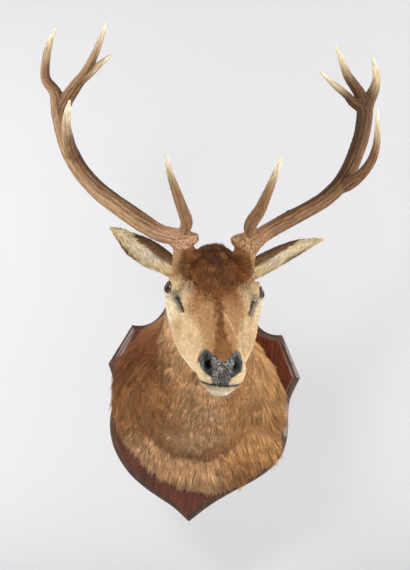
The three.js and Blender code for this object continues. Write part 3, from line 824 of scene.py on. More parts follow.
def lid_rims():
    """The thick bare edges of the four lids, as closed tubes."""
    parts = []
    for side in (-1, 1):
        for above in (True, False):
            slit = np.linspace(-OPENING_INNER, OPENING_OUTER, 33)
            height = lid_height(slit, np.full(33, above))
            turn, tip = slit / EYE_RADIUS, height / EYE_RADIUS
            u = (np.cos(tip) * np.cos(turn))[:, None] * EYE_AXIS
            u = u + (np.cos(tip) * np.sin(turn))[:, None] * EYE_SLIT + np.sin(tip)[:, None] * EYE_RISE
            at = u * (EYE_RADIUS + 0.9)
            radius = 1.5 * (0.55 + 0.45 * (1 - (slit / OPENING_OUTER) ** 2))
            centre = on_head(at[:, 0], at[:, 1], side * (EYE_ACROSS + at[:, 2]))
            stack, _, _ = tube(np.concatenate([centre, radius[:, None]], 1), 10, 60)
            parts.append(closed_stack(stack))
    return parts


# ---- markings


def neck_colours(points, out, up, c, fine):
    """The neck: darker at the left, pale at the throat, a cream fringe low at the board and a painted
    shadow in its crease.
    """
    blotch = waves(points, 70, 11)
    wide = np.abs(c)
    low = smooth((168 + 14 * blotch - out - 0.35 * wide) / 40) * upto(up, -50, 30)
    return painted(
        "#b8834f",
        ("#77411a", past(up, -20, 90) * upto(c, -30, 60) * 0.85),
        ("#ddb486", smooth((80 - np.abs(c - 8)) / 60) * upto(up, 70, 60) * past(out, 130, 80) * 0.8),
        ("#d6a56d", past(c, 20, 60) * past(up, -130, 60) * 0.9),
        ("#8a572e", past(blotch, 0.2, 0.8) * 0.35),
        ("#c99e69", past(fine, 0.3, 0.9) * 0.2),
        ("#ecc08e", low * 0.85 * upto(c, 90, 80)),
        # painted shadow: a darker band along the crease where the brisket bulge overhangs the fringe
        ("#835330", bell(out - 158 + 0.35 * wide, 15) * upto(up, -40, 40) * 0.5))


def face_colours(points, a, b, c, fine):
    """The head: pale cheeks, a dark line down the bridge, dark curls and a bare nose, with painted shade in
    the nostrils and a painted sheen on the pad's right side.
    """
    wide = np.abs(c)
    side_edge = np.interp(a, [-60, 20, 63, 130, 195], [2, -4, -11, -18, -27])
    stripe = np.interp(a, [70, 100, 132, 165, 190, 215], [9, 6.5, 5.5, 6, 11, 15])
    ragged = np.abs(c + 1 + 2.5 * waves(points, 13, 15))
    light_line, _ = segment_distance(a, c, ((114, 3), (154, 25)))
    eye = np.hypot(a - 2, b - 4) * (wide > 36) + 99 * (wide <= 36)
    curls = forehead(a, b, c)
    curl_middle = smooth((30 - wide + 10 * waves(points, 20, 14)) / 26)
    corner, _ = segment_distance(a, b, TEAR_CORNER)
    brow = bell(np.hypot(a + 14, (b - 30) * 1.2), 16) * (wide > 46)
    lips = bell(b - mouth_height(a, c) + 1.0, 3.8) * past(a, 176, 34)
    pad, middle = nose_pad(a, b, c), nose_middle(a, b, c)
    hollow, _ = segment_distance(a - b * 0.45, np.abs(c - NOSE_MIDDLE), ((254, 25), (214, 29)))
    tear = bell(segment_distance(a, b, TEAR_GROOVE)[0], 2.8) * (wide > TEAR_ACROSS)
    face = painted(
        "#c79a68",
        ("#e8cba0", smooth((side_edge - b) / 16 + 0.4) * past(a, -70, 50)),
        ("#b88552", upto(wide, 26, 14) * past(a, 60, 40) * past(b, -30, 14) * 0.6),
        ("#c09768", smooth((waves(points, 36, 18) + 0.5) / 1.3) * past(b, -72, 30) * 0.5),
        ("#a26c3c", upto(a, 104, 70) * upto(wide, 58, 20) * past(b, -14, 20) * 0.9),
        ("#7a4c2a", smooth((stripe - ragged) / 9 + 0.5) * past(a, 36, 20)),
        ("#98683a", upto(ragged, 21, 14) * past(a, 178, 20) * 0.85),
        ("#f0d6ab", bell(light_line, 2.4) * past(b, -24, 10) * past(a, 104, 30) * 0.75),
        ("#d3b78c", upto(eye, 30, 14) * 0.85),
        ("#f0dfbd", smooth((46 - np.hypot(a - 24, b + 30)) / 26) * (wide > 30) * 0.95),
        ("#74461f", np.clip(curls * 1.3, 0, 1)),
        ("#3d1f0a", curls * curl_middle * upto(a, 70, 90) * 0.9),
        ("#8d5c31", curls * past(fine, 0.2, 0.8) * 0.5),
        ("#4f4842", bell(corner, 5) * (wide > 40) * 0.6),
        ("#8a6a48", brow * 0.5),
        ("#ecd3a8", past(a, 186, 18) * upto(b, -20, 10)),
        ("#fff1d6", upto(b, -74, 8) * past(a, 60, 40)),
        ("#ecc896", upto(b, -60, 30) * upto(a, 40, 50) * 0.8),
        ("#d9b584", upto(a, -30, 30) * past(wide, 44, 14) * past(b, -30, 20)),
        ("#2b2724", np.maximum(lips, pad)),
        # painted sheen: the outer pad on the right side is painted a lighter grey
        ("#45423e", (pad - middle) * past(c, 10, 20) * 0.7),
        ("#97938a", middle * creases(a, b, c) * np.clip(0.85 + 0.4 * fine, 0, 1)),
        # painted shade: the nostrils are painted near black, deeper in the left one than the right
        ("#070605", upto(hollow, 10, 3) * pad * np.where(c < 0, 1, 0.35)),
        ("#1d1815", np.clip(tear * 1.4, 0, 1)))
    for side in (-1, 1):
        _, outside, close = round_eye(a, b, c, side)
        face = painted(face, ("#3a302a", upto(outside, 3.0, 2.4) * close))
    return face


def ear_colours(marks):
    """The ears: cream and grey inside, brown behind with a dark upper edge."""
    number, t, v, face_side = marks.T
    top = v * np.where(number == 1, 1, -1)            # towards the upper edge
    ear = painted(
        "#dcc8a0",
        ("#e6dccb", bell(top + 0.15, 0.4) * bell(t - 0.4, 0.2) * 0.8),
        ("#efd9ac", upto(t, 0.28, 0.12)),
        ("#3f3832", bell(top + 0.02, 0.20) * bell(t - 0.27, 0.09) * 0.9),
        ("#7d6040", smooth((-top - 0.72) / 0.2) * past(t, 0.42, 0.1) * upto(t, 0.8, 0.1)),
        ("#cfae80", past(t, 0.75, 0.2) * 0.7))
    back = painted(
        "#7d5a36",
        ("#523a22", past(top, 0.5, 0.5) * past(t, 0.1, 0.3) * 0.8),
        ("#cdb68c", smooth((-top - 0.1) / 0.5) * 0.9),
        ("#b49a6c", past(t, 0.86, 0.1) * 0.6))
    over = smooth((top - roll_edge(t) + 0.05) / 0.08)[:, None]
    return np.where((face_side < 0)[:, None], ear + (back - ear) * over, back)


def markings(points, marks):
    """The colours of the animal at points of its skin, as linear colours."""
    out, up, a, b, c = places(points)
    wide = np.abs(c)
    fine = waves(points, 22, 12)
    past_line = a - NECK_LINE_TOP - (NECK_LINE_UP - b) * NECK_LINE_SLOPE + 9 * waves(points, 16, 17)
    behind_jaw = bell(past_line + 6, 24) * past(wide, 20, 30) * upto(b, 20, 40) * 0.9
    neck = painted(neck_colours(points, out, up, c, fine), ("#dcb081", behind_jaw))
    face = face_colours(points, a, b, c, fine)
    colours = neck + (face - neck) * past(past_line, -14, 44)[:, None]
    poll = upto(a, -58, 16) * smooth((wide - 60) / -20)
    colours = painted(colours, ("#74482a", poll * past(b, 10, 20)))
    return np.where((marks[:, 0] > 0)[:, None], ear_colours(marks), colours)


def burr_distance(points):
    """How far points are from the foot of the nearer antler."""
    found = np.full(len(points), 99.0)
    for antler in ANTLERS:
        top = antler_place(antler["side"], antler["beam"][:1])[0, :3]
        found = np.minimum(found, np.linalg.norm(points - top, axis=-1))
    return found


def burr_room(points):
    """0 beside the antlers' burrs, 1 well away from them."""
    return smooth((burr_distance(points) - 22) / 20)


def bareness(points):
    """1 where no fur grows: nose pad, lips, lids, tear grooves and the antlers' feet."""
    _, _, a, b, c = places(points)
    bare = nose_pad(a, b, c)
    bare = np.maximum(bare, bell(b - mouth_height(a, c) + 1, 3.0) * past(a, 165, 30))
    groove, _ = segment_distance(a, b, TEAR_GROOVE)
    bare = np.maximum(bare, np.clip(1.5 * bell(groove, 2.0), 0, 1) * (np.abs(c) > TEAR_ACROSS))
    for side in (-1, 1):
        slit, outside, close = round_eye(a, b, c, side)
        margin = 3.0 + 6 * smooth(slit / 6)
        bare = np.maximum(bare, smooth((margin - outside) / 1.6) * close)
    return np.maximum(bare, smooth((30 - burr_distance(points)) / 4))


def lie(points, marks):
    """The way the coat lies, before it is laid on the skin."""
    out, _, a, b, c = places(points)
    angle = TURN * np.clip((out - TURN_START) / (TURN_END - TURN_START), 0, 1)
    to_wall = np.stack([-np.sin(angle), np.cos(angle), np.zeros_like(angle)], -1)
    side_push = np.clip(c / 150, -1, 1)[:, None] * TO_RIGHT
    neck = to_wall * 0.8 - UP * 0.95 + side_push * 0.7
    face = -HEAD_A + HEAD_C * (np.sign(c) * smooth(np.abs(c) / 30) * 0.25)[:, None]
    face = face - UP * (upto(b, -30, 40) * upto(a, 120, 80))[:, None] * 0.9
    on_face = before_jaw(a, b)[:, None]
    flow = neck + (face - neck) * on_face
    for number, table in ((1, LEFT_EAR), (2, RIGHT_EAR)):
        mine = marks[:, 0] == number
        t = marks[mine, 1] * (len(table) - 1)
        _, along, _, wide = ear_frame(table, t)
        inside = marks[mine, 3] < 0
        sideways = wide * (-np.sign(marks[mine, 2]) * 0.5 * inside)[:, None]
        flow[mine] = along + sideways
    return unit(flow)


# ---- coat


class Coat:
    """The roots of every tuft, sown over the skin."""

    def __init__(self, mesh, points, normals, marks, seed):
        self.rng = np.random.default_rng(seed)
        self.tris = triangles_of(mesh)
        self.points, self.normals, self.marks = points, normals, marks
        p = points[self.tris]
        self.area = np.linalg.norm(np.cross(p[:, 1] - p[:, 0], p[:, 2] - p[:, 0]), axis=1) / 2

    def sow(self, count, density):
        """Roots, normals and marks of count tufts, spread by a density at the skin's points."""
        weight = self.area * density[self.tris].mean(1)
        chosen = self.rng.choice(len(self.tris), count, p=weight / weight.sum())
        u, v = self.rng.random(count), self.rng.random(count)
        flip = u + v > 1
        u, v = np.where(flip, 1 - u, u), np.where(flip, 1 - v, v)
        share = np.stack([1 - u - v, u, v], 1)[..., None]
        corner = self.tris[chosen]
        roots = (self.points[corner] * share).sum(1)
        normals = unit((self.normals[corner] * share).sum(1))
        return roots, normals, self.marks[corner[:, 0]]


def uv_places(marks):
    """Places on an unwrap of the skin: the body on the left, the ears on the right."""
    part = marks[:, 0]
    u = np.where(part == 0, 0.01 + 0.68 * marks[:, 1], 0.0)
    v = np.where(part == 0, 0.01 + 0.97 * marks[:, 2], 0.0)
    for number in (1, 2):
        mine = part == number
        left = 0.70 + 0.15 * (number - 1)
        u = np.where(mine, left + 0.07 * (marks[:, 3] > 0) + 0.065 * (marks[:, 2] + 1) / 2, u)
        v = np.where(mine, 0.01 + 0.97 * marks[:, 1], v)
    return np.stack([u, v], -1)


TUFT_SECTION = np.array([[-0.5, 0.0], [0.5, 0.0], [0.0, 0.42]])    # sideways, outwards
TUFT_PLACE = (0.0013, 0.003)     # half-width and height of one tuft on the unwrap
BOARD_CLEAR = 2                  # tufts stay this far off the front of the board


def tuft_faces(bends):
    """Triangles of one tuft: its closed root, a three-sided body with bends, a point."""
    faces = [[0, 2, 1]]
    for k in range(bends):
        for i in range(3):
            p, q = 3 * k + i, 3 * k + (i + 1) % 3
            faces += [[p, q, q + 3], [p, q + 3, p + 3]]
    for i in range(3):
        faces.append([3 * bends + i, 3 * bends + (i + 1) % 3, 3 * bends + 3])
    return np.array(faces)


def grow(name, sown, length, width, lift, material, rng, clump, clump_every, shade,
         bends=1, curl=0.0, spread=0.2, tones=(0.6, 1.05, 1.35)):
    """Tapered closed tufts from sown roots, as a few pieces.

    length, width, lift and clump are arrays or numbers; bends is how many rings stand
    between the root and the tip; curl waves the tuft sideways; clump draws tips together;
    tones are how bright the tuft is at its root, middle and tip.
    """
    roots, normals, marks = sown
    count = len(roots)
    length = np.broadcast_to(length, (count,)) * rng.uniform(0.72, 1.18, count)
    width = np.broadcast_to(width, (count,)) * rng.uniform(0.75, 1.25, count)
    lift = np.broadcast_to(lift, (count,)) * rng.uniform(0.6, 1.4, count)
    sway = np.stack([waves(roots, 46, 31 + k) for k in range(3)], 1) * spread
    sway += np.stack([waves(roots, 17, 41 + k) for k in range(3)], 1) * spread * 0.6
    flow = lie(roots, marks) + sway + rng.normal(0, 0.10, (count, 3))
    flow = unit(flow - normals * np.einsum("ij,ij->i", flow, normals)[:, None])
    side = np.cross(normals, flow)
    steps = np.linspace(0, 1, bends + 2)
    bow = lift[:, None] * (steps - 0.55 * steps ** 2)
    centre = roots[:, None] + flow[:, None] * (length[:, None] * steps)[..., None]
    centre = centre + normals[:, None] * (length[:, None] * bow)[..., None]
    if curl:
        phase = rng.uniform(0, 2 * math.pi, count)[:, None]
        turn = phase + steps * 4.2
        wave = (np.sin(turn) - np.sin(phase)) * length[:, None] * curl
        rise = (np.cos(turn) - np.cos(phase)) * length[:, None] * curl * 0.5
        centre = centre + side[:, None] * wave[..., None] + normals[:, None] * np.abs(rise)[..., None]
    brightness = 1 + rng.normal(0, shade, count)
    heads = rng.permutation(count)[: max(count // clump_every, 2)]
    near = heads[nearest(tree_of(roots[heads]), roots)]
    pull = np.broadcast_to(clump, (count,))[:, None] * steps ** 1.5 * rng.uniform(0.5, 1, count)[:, None]
    centre = centre + (centre[near] - centre) * pull[..., None]
    brightness = brightness + (rng.normal(0, shade, count))[near]
    centre[..., 1] = np.minimum(centre[..., 1], -BOARD_FRONT - BOARD_CLEAR)
    taper = np.interp(steps, [0, 0.35, 1], [0.8, 1.0, 0.0])[:-1]
    size = width[:, None, None] * taper[None, :, None]
    ring = centre[:, :-1, None] + side[:, None, None] * (size * TUFT_SECTION[:, 0])[..., None]
    ring = ring + normals[:, None, None] * (size * TUFT_SECTION[:, 1])[..., None]
    points = np.concatenate([ring.reshape(count, -1, 3), centre[:, -1:]], 1)
    faces = tuft_faces(bends)
    colour = markings(roots, marks) * np.clip(brightness, 0.45, 1.6)[:, None]
    along = np.concatenate([np.repeat(steps[:-1], 3), [1.0]])
    colours = colour[:, None] * np.interp(along, [0, 0.5, 1], tones)[None, :, None]
    at = uv_places(marks)
    half, tall = TUFT_PLACE
    offsets = np.stack([np.tile([-half, half, 0.0], bends + 1), np.repeat(steps[:-1], 3) * tall], 1)
    offsets = np.concatenate([offsets, [[0.0, tall]]])
    per_piece = PIECE_TRIANGLES // len(faces)
    order = np.argsort(marks[:, 0] * 10 + marks[:, 1], kind="stable")
    pieces = []
    for first in range(0, count, per_piece):
        mine = order[first:first + per_piece]
        base = np.arange(len(mine))[:, None, None] * points.shape[1]
        tris = (faces[None] + base).reshape(-1, 3)
        mesh = new_mesh(name, points[mine].reshape(-1, 3), tris)
        set_smooth(mesh)
        set_colours(mesh, colours[mine].reshape(-1, 3))
        layer = mesh.uv_layers.new(name="OFBake")
        corners = (at[mine][:, None] + offsets[None]).reshape(-1, 2)[tris.ravel()]
        layer.uv.foreach_set("vector", corners.astype(np.float32).ravel())
        pieces.append(new_object(f"{name}_{len(pieces) + 1}", mesh, material))
    return pieces


# ---- materials


class Nodes:
    """A small helper for building a material's nodes."""

    def __init__(self, name):
        self.material = bpy.data.materials.new(name)
        self.material.use_nodes = True
        self.tree = self.material.node_tree
        self.shader = self.tree.nodes["Principled BSDF"]

    def add(self, kind, **values):
        node = self.tree.nodes.new(kind)
        for key, value in values.items():
            if key in node.inputs:
                node.inputs[key].default_value = value
            else:
                setattr(node, key, value)
        return node

    def link(self, start, end):
        self.tree.links.new(start, end)

    def attribute(self, name, output="Color"):
        return self.add("ShaderNodeAttribute", attribute_name=name).outputs[output]

    def noise(self, scale, detail, roughness=0.55, stretch=None, vector=None):
        """Noise over a vector, or over the object's own stretched coordinates."""
        if vector is None:
            vector = self.add("ShaderNodeTexCoord").outputs["Object"]
        if stretch:
            mapping = self.add("ShaderNodeMapping", Scale=stretch)
            self.link(vector, mapping.inputs["Vector"])
            vector = mapping.outputs["Vector"]
        node = self.add("ShaderNodeTexNoise", Scale=scale, Detail=detail, Roughness=roughness)
        self.link(vector, node.inputs["Vector"])
        return node.outputs["Fac"]

    def ramp(self, value, stops):
        node = self.add("ShaderNodeValToRGB")
        while len(node.color_ramp.elements) < len(stops):
            node.color_ramp.elements.new(0.5)
        for element, (place, colour) in zip(node.color_ramp.elements, stops):
            element.position = place
            element.color = (*colour, 1)
        self.link(value, node.inputs["Fac"])
        return node.outputs["Color"]

    def multiply(self, one, other):
        node = self.add("ShaderNodeMix", data_type="RGBA", blend_type="MULTIPLY", Factor=1.0)
        self.link(one, node.inputs["A"])
        self.link(other, node.inputs["B"])
        return node.outputs["Result"]

    def colour(self, value):
        self.link(value, self.shader.inputs["Base Color"])

    def bump(self, height, strength, distance):
        node = self.add("ShaderNodeBump", Strength=strength, Distance=distance)
        self.link(height, node.inputs["Height"])
        self.link(node.outputs["Normal"], self.shader.inputs["Normal"])

    def finish(self, **values):
        for key, value in values.items():
            self.shader.inputs[key.replace("_", " ")].default_value = value
        return self.material


def grey(low, high, start=0.3, end=0.7):
    return [(start, (low,) * 3), (end, (high,) * 3)]


def marked_material(name, spots, low, high, bump_scale, bump_distance, roughness, **coat):
    """Colour from the markings, with fine procedural mottling and bump."""
    nodes = Nodes(name)
    mottle = nodes.ramp(nodes.noise(spots, 3), grey(low, high))
    nodes.colour(nodes.multiply(nodes.attribute("marking"), mottle))
    nodes.bump(nodes.noise(bump_scale, 3), 0.5, bump_distance)
    return nodes.finish(Roughness=roughness, Specular_IOR_Level=0.25, **coat)


def bone_material():
    """Antler bone with streaks along each piece, from its own grain coordinates."""
    nodes = Nodes("antler_bone")
    streak = nodes.noise(520, 5, 0.7, vector=nodes.attribute("grain", "Vector"))
    nodes.colour(nodes.multiply(nodes.attribute("marking"), nodes.ramp(streak, grey(0.5, 1.4, 0.38, 0.62))))
    nodes.bump(streak, 0.6, 0.0012)
    return nodes.finish(Roughness=0.58, Specular_IOR_Level=0.22)


def glass_material():
    nodes = Nodes("eye_glass")
    nodes.colour(nodes.attribute("marking"))
    return nodes.finish(Roughness=0.12, Specular_IOR_Level=0.3, Coat_Weight=0.3, Coat_Roughness=0.03)


def wood_material():
    nodes = Nodes("mahogany")
    grain = nodes.noise(9, 6, 0.6, stretch=(14, 14, 1.1))
    stops = [(0.25, linear("#3d150a")), (0.5, linear("#5e2813")), (0.75, linear("#7a3d1a"))]
    streak = nodes.ramp(nodes.noise(60, 3, stretch=(9, 9, 0.25)), grey(0.72, 1.05))
    wood = nodes.multiply(nodes.ramp(grain, stops), streak)
    nodes.colour(nodes.multiply(wood, nodes.attribute("marking")))
    nodes.bump(nodes.noise(70, 4, stretch=(8, 8, 0.3)), 0.25, 0.0006)
    return nodes.finish(Roughness=0.4, Specular_IOR_Level=0.12, Coat_Weight=0.6, Coat_Roughness=0.14)


def plain_material(name, colour, **values):
    nodes = Nodes(name)
    return nodes.finish(Base_Color=(*colour, 1), **values)


# ---- antlers


ANTLER_SIDES = 40
ANTLER_VOXEL = 1.5
BURR_PEARLS = 64
BEAM_PEARLS = 70


def spoke(axis, angle):
    """A direction square to an axis, turned round it by an angle."""
    across = unit(np.cross(axis, AHEAD))
    return across * math.cos(angle) + np.cross(axis, across) * math.sin(angle)


def antler_form(antler, rng):
    """Closed parts of an antler, and the marks of places on their tubes.

    A mark is: length from the root, angle round the axis, radius, number of the part,
    length left to the tip.
    """
    parts, anchors, marks = [], [], []
    for number, name in enumerate(("beam", "brow", "trez", "outer", "inner", "third")):
        rows = antler_place(antler["side"], antler[name])
        rings, t, angle = tube(rows, ANTLER_SIDES, len(rows) * 12)
        points, tris = closed_stack(rings)
        points[-1] = rows[-1, :3] + unit(rows[-1, :3] - rows[-2, :3]) * rows[-1, 3] * 0.9
        parts.append((points, tris))
        axis = rows_at(rows, t)
        walk = np.linalg.norm(np.diff(axis[:, :3], axis=0), axis=1)
        length = np.concatenate([[0], np.cumsum(walk)])[:, None]
        anchors.append(rings.reshape(-1, 3))
        marks.append(grid_marks(length, angle, axis[:, 3:], number, length[-1] - length))
    beam = antler_place(antler["side"], antler["beam"])
    burr_axis = unit(beam[1, :3] - beam[0, :3])
    for k in range(BURR_PEARLS):
        angle = (k + rng.uniform(-0.3, 0.3)) / (BURR_PEARLS / 2) * 2 * math.pi
        rise = burr_axis * rng.uniform(-6, 4)
        centre = beam[1, :3] + spoke(burr_axis, angle) * rng.uniform(24.5, 27.5) + rise
        parts.append(pearl(centre, rng.uniform(2.6, 4.2)))
    for k in range(BEAM_PEARLS):
        t = rng.uniform(2.0, 5.6)
        row, ahead = rows_at(beam, np.array([t, t + 0.1]))
        out = spoke(unit(ahead[:3] - row[:3]), rng.uniform(0, 2 * math.pi))
        parts.append(pearl(row[:3] + out * (row[3] - 0.9), rng.uniform(1.6, 2.9)))
    return parts, np.concatenate(anchors), np.concatenate(marks), beam[1, :3]


def antler_mesh(antler, seed):
    """One grown antler with grooves, pearls and smooth pale tips."""
    parts, anchors, marks, burr = antler_form(antler, np.random.default_rng(seed))
    mesh = remeshed("antler", parts, ANTLER_VOXEL)
    points = points_of(mesh)
    length, angle, radius, number, to_tip = nearest_marks(points, anchors, marks).T
    on_beam, tine = number == 0, number > 0
    to_tip = np.where(on_beam, 999, to_tip)            # the beam ends inside its crown
    points = relaxed(points, edges_of(mesh), 2)
    set_points(mesh, points)
    normals = normals_of(mesh)
    rough = past(to_tip, 30, 55)
    drift = length * 0.006
    groove = np.sin(angle * 11 + drift + waves(points, 80, seed) * 0.8)
    groove = groove + 0.7 * np.sin(angle * 17 - drift * 1.7 + waves(points, 70, seed + 1) * 1.0)
    amount = np.clip(radius / 16, 0.4, 1.1)
    push = rough * (groove * 0.42 * amount + waves(points, 7, seed + 2) * 0.22) - 0.5 * rough
    points = points + normals * push[:, None]
    set_points(mesh, points)
    base, darker, ridge, furrow_and_shade, foot, outside = antler["tones"]
    dark = np.clip(past(length, 120, 220) * on_beam + past(number, 2, 0.5), 0, 1)
    inwards = normals @ unit(UP * 0.7 - TO_RIGHT * antler["side"])
    shadow = past(inwards, 0.1, 0.6) * np.where(on_beam, past(length, 60, 80), 0.8)
    near_burr = np.linalg.norm(points - burr, axis=1)
    spots = waves(points, 6, seed + 4) / 0.8
    set_colours(mesh, painted(
        base,
        (darker, dark * 0.85),
        (ridge, smooth(groove - 0.2) * rough * (0.75 - 0.35 * dark)),
        (furrow_and_shade, smooth(-groove - 0.3) * rough * 0.5),
        # painted shade: the upper inner side of the beam and tines is painted darker
        (furrow_and_shade, shadow * rough * 0.75),
        # painted light: the lower outer side is painted paler
        (outside, smooth((-inwards - 0.1) / 0.7) * rough * 0.6),
        (foot, upto(length, 90, 60) * on_beam * 0.6),
        ("#c9b48e", upto(to_tip, 88, 60) * tine * 0.9),
        ("#e0d2b2", upto(to_tip, 42, 34) * tine),
        ("#94704f", rough * (number == 1) * 0.6),
        ("#b08a63", upto(near_burr, 36, 8) * smooth(spots) * 0.8),
        ("#6e4c30", upto(near_burr, 34, 8) * smooth(-spots) * 0.7)))
    grain = mesh.attributes.new("grain", "FLOAT_VECTOR", "POINT")
    streaks = np.stack([radius * np.cos(angle), radius * np.sin(angle), length * 0.06], 1) / 1000
    grain.data.foreach_set("vector", streaks.astype(np.float32).ravel())
    set_smooth(mesh)
    return mesh


def pearl(centre, radius):
    """A small closed ball."""
    turns, rings = 10, 7
    lat = np.linspace(-math.pi / 2, math.pi / 2, rings + 2)[1:-1, None]
    lon = np.arange(turns) / turns * 2 * math.pi
    ring = np.stack([np.cos(lat) * np.cos(lon), np.cos(lat) * np.sin(lon), np.sin(lat) + 0 * lon], -1)
    points, tris = closed_stack(ring * radius + centre)
    points[-2:] = centre - UP * radius, centre + UP * radius
    return points, tris


# ---- eyes


def eye_mesh(side):
    """A glass eye with a brown iris and a level oval pupil."""
    turns, rings = 72, 44
    centre = on_head(0, 0, side * EYE_ACROSS)
    axis, slit = (unit(HEAD_A * v[0] + HEAD_B * v[1] + HEAD_C * v[2] * side) for v in (EYE_AXIS, EYE_SLIT))
    rise = np.cross(axis, slit)
    lat = np.linspace(0, math.pi, rings + 2)[1:-1, None, None]
    lon = (np.arange(turns) / turns * 2 * math.pi)[:, None]
    ring = np.sin(lat) * np.cos(lon) * slit + np.sin(lat) * np.sin(lon) * rise + np.cos(lat) * axis
    points, tris = closed_stack(centre + EYE_RADIUS * ring)
    points[-2:] = centre + axis * EYE_RADIUS, centre - axis * EYE_RADIUS
    mesh = new_mesh("eye", points, tris)
    set_smooth(mesh)
    d = (points - centre) / EYE_RADIUS
    u, v, w = d @ slit, d @ rise, d @ axis
    set_colours(mesh, painted(
        "#5c2a1b",
        ("#653221", smooth((waves(points, 3.0, 71) + 0.2) / 1.2) * 0.6),
        ("#0d0605", smooth((1 - np.hypot(u / 0.46, v / 0.28)) / 0.35) * (w > 0)),      # pupil
        ("#120a08", smooth((np.hypot(u, v) - 0.86) / 0.08))))                          # rim
    return mesh


# ---- shield


def catmull(points, count):
    return rows_at(np.asarray(points, float), np.linspace(0, len(points) - 1, count))


def bezier(p0, p1, p2, p3, count):
    t = np.linspace(0, 1, count)[:, None]
    p0, p1, p2, p3 = (np.asarray(p, float) for p in (p0, p1, p2, p3))
    return (1 - t) ** 3 * p0 + 3 * (1 - t) ** 2 * t * p1 + 3 * (1 - t) * t ** 2 * p2 + t ** 3 * p3


def shield_outline():
    right = catmull([SHIELD_TIP, *SHIELD_RIGHT], 90)
    left = catmull([*SHIELD_LEFT[::-1], SHIELD_TIP], 90)
    scoop = bezier(SHOULDER, (118, 138), (92, 160), SCOOP_TOP, 26)
    crown = bezier(SCOOP_TOP, (52, 212), (26, 220), (0, SHIELD_TOP), 18)
    top = np.concatenate([scoop, crown[1:]])
    return np.concatenate([right, top, top[:-1][::-1] * [-1, 1], left[:-1]])


def edge_distance(points, outline):
    """How far points in the shield's plane are from its outline."""
    start = outline[None]
    step = np.roll(outline, -1, 0)[None] - start
    away = points[:, None] - start
    t = np.clip((away * step).sum(-1) / (step ** 2).sum(-1), 0, 1)
    return np.linalg.norm(away - step * t[..., None], axis=-1).min(1)


def is_inside(points, outline):
    """Even-odd test of points in the shield's plane."""
    x0, y0 = outline.T
    x1, y1 = np.roll(outline, -1, 0).T
    px, py = points[:, 0:1], points[:, 1:2]
    crossing = (y0 > py) != (y1 > py)
    height = np.where(y1 == y0, 1.0, y1 - y0)
    return (crossing & (px < (x1 - x0) * (py - y0) / height + x0)).sum(1) % 2 == 1


def triangulated(loops, outline):
    """Flat triangles over the shield that keep to every loop of points."""
    points = np.concatenate(loops)
    edges, first = [], 0
    for loop in loops:
        edges += [(first + k, first + (k + 1) % len(loop)) for k in range(len(loop))]
        first += len(loop)
    found = delaunay_2d_cdt([Vector(p) for p in points.tolist()], edges, [], 0, 1e-4)
    flat = np.array([tuple(v) for v in found[0]])
    tris = np.array(found[2])
    return flat, tris[is_inside(flat[tris].mean(1), outline)]


def shield_mesh():
    """A moulded board whose front steps up by the distance from its edge."""
    outline = shield_outline()
    before = unit(outline - np.roll(outline, 1, 0))
    after = unit(np.roll(outline, -1, 0) - outline)
    inwards = unit(np.stack([-before[:, 1] - after[:, 1], before[:, 0] + after[:, 0]], 1))
    slant = np.maximum((inwards * np.stack([-after[:, 1], after[:, 0]], 1)).sum(1), 0.3)
    loops = [outline]
    for inset, _ in SHIELD_PROFILE[1:]:
        loop = outline + inwards * (inset / slant)[:, None]
        loops.append(loop[edge_distance(loop, outline) > inset - 0.05])
    flat, tris = triangulated(loops, outline)
    profile = np.array(SHIELD_PROFILE, float)
    out = np.interp(edge_distance(flat, outline), profile[:, 0], profile[:, 1])
    front = np.stack([flat[:, 0], -out, flat[:, 1]], 1)
    flat_back, back_tris = triangulated([outline], outline)
    back = np.stack([flat_back[:, 0], np.full(len(flat_back), SHIELD_BACK), flat_back[:, 1]], 1)
    count = len(outline)
    wall = np.concatenate([
        np.stack([outline[:, 0], np.full(count, y), outline[:, 1]], 1)
        for y in (SHIELD_BACK, -SHIELD_PROFILE[0][1])])
    points, tris = joined([(front, facing(front, tris, -1)), (back, facing(back, back_tris, 1)),
                           (wall, grid_triangles(2, count))])
    mesh = new_mesh("shield", points, tris)
    work = bmesh.new()
    work.from_mesh(mesh)
    bmesh.ops.remove_doubles(work, verts=work.verts, dist=0.00002)
    bmesh.ops.recalc_face_normals(work, faces=work.faces)
    work.to_mesh(mesh)
    work.free()
    # painted sheen: the moulding below the raised face takes the greyer tint
    raised = smooth((-points_of(mesh)[:, 1] - 17) / 4)[:, None]
    set_colours(mesh, raised + (1 - raised) * np.array(MOULDING_SHEEN_TINT))
    set_smooth(mesh)
    mesh.set_sharp_from_angle(angle=SHIELD_CREASE)
    return mesh


def facing(points, tris, sign):
    """The same triangles, each turned to face along +Y or -Y."""
    p, q, r = points[tris[:, 0]], points[tris[:, 1]], points[tris[:, 2]]
    wrong = np.cross(q - p, r - p)[:, 1] * sign < 0
    return np.where(wrong[:, None], tris[:, ::-1], tris)


# ---- assembly

FLESH = ("cape", "neck", "skull", "muzzle", "lower_jaw", "left_ear", "right_ear")
ANTLER_NODES = ("beam_lower", "beam_upper", "brow_tine", "trez_tine", "crown_outer_tine",
                "crown_inner_tine", "crown_third_tine")


def place(piece, slot, *nodes):
    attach(piece, "root")
    if nodes:
        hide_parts(*nodes)


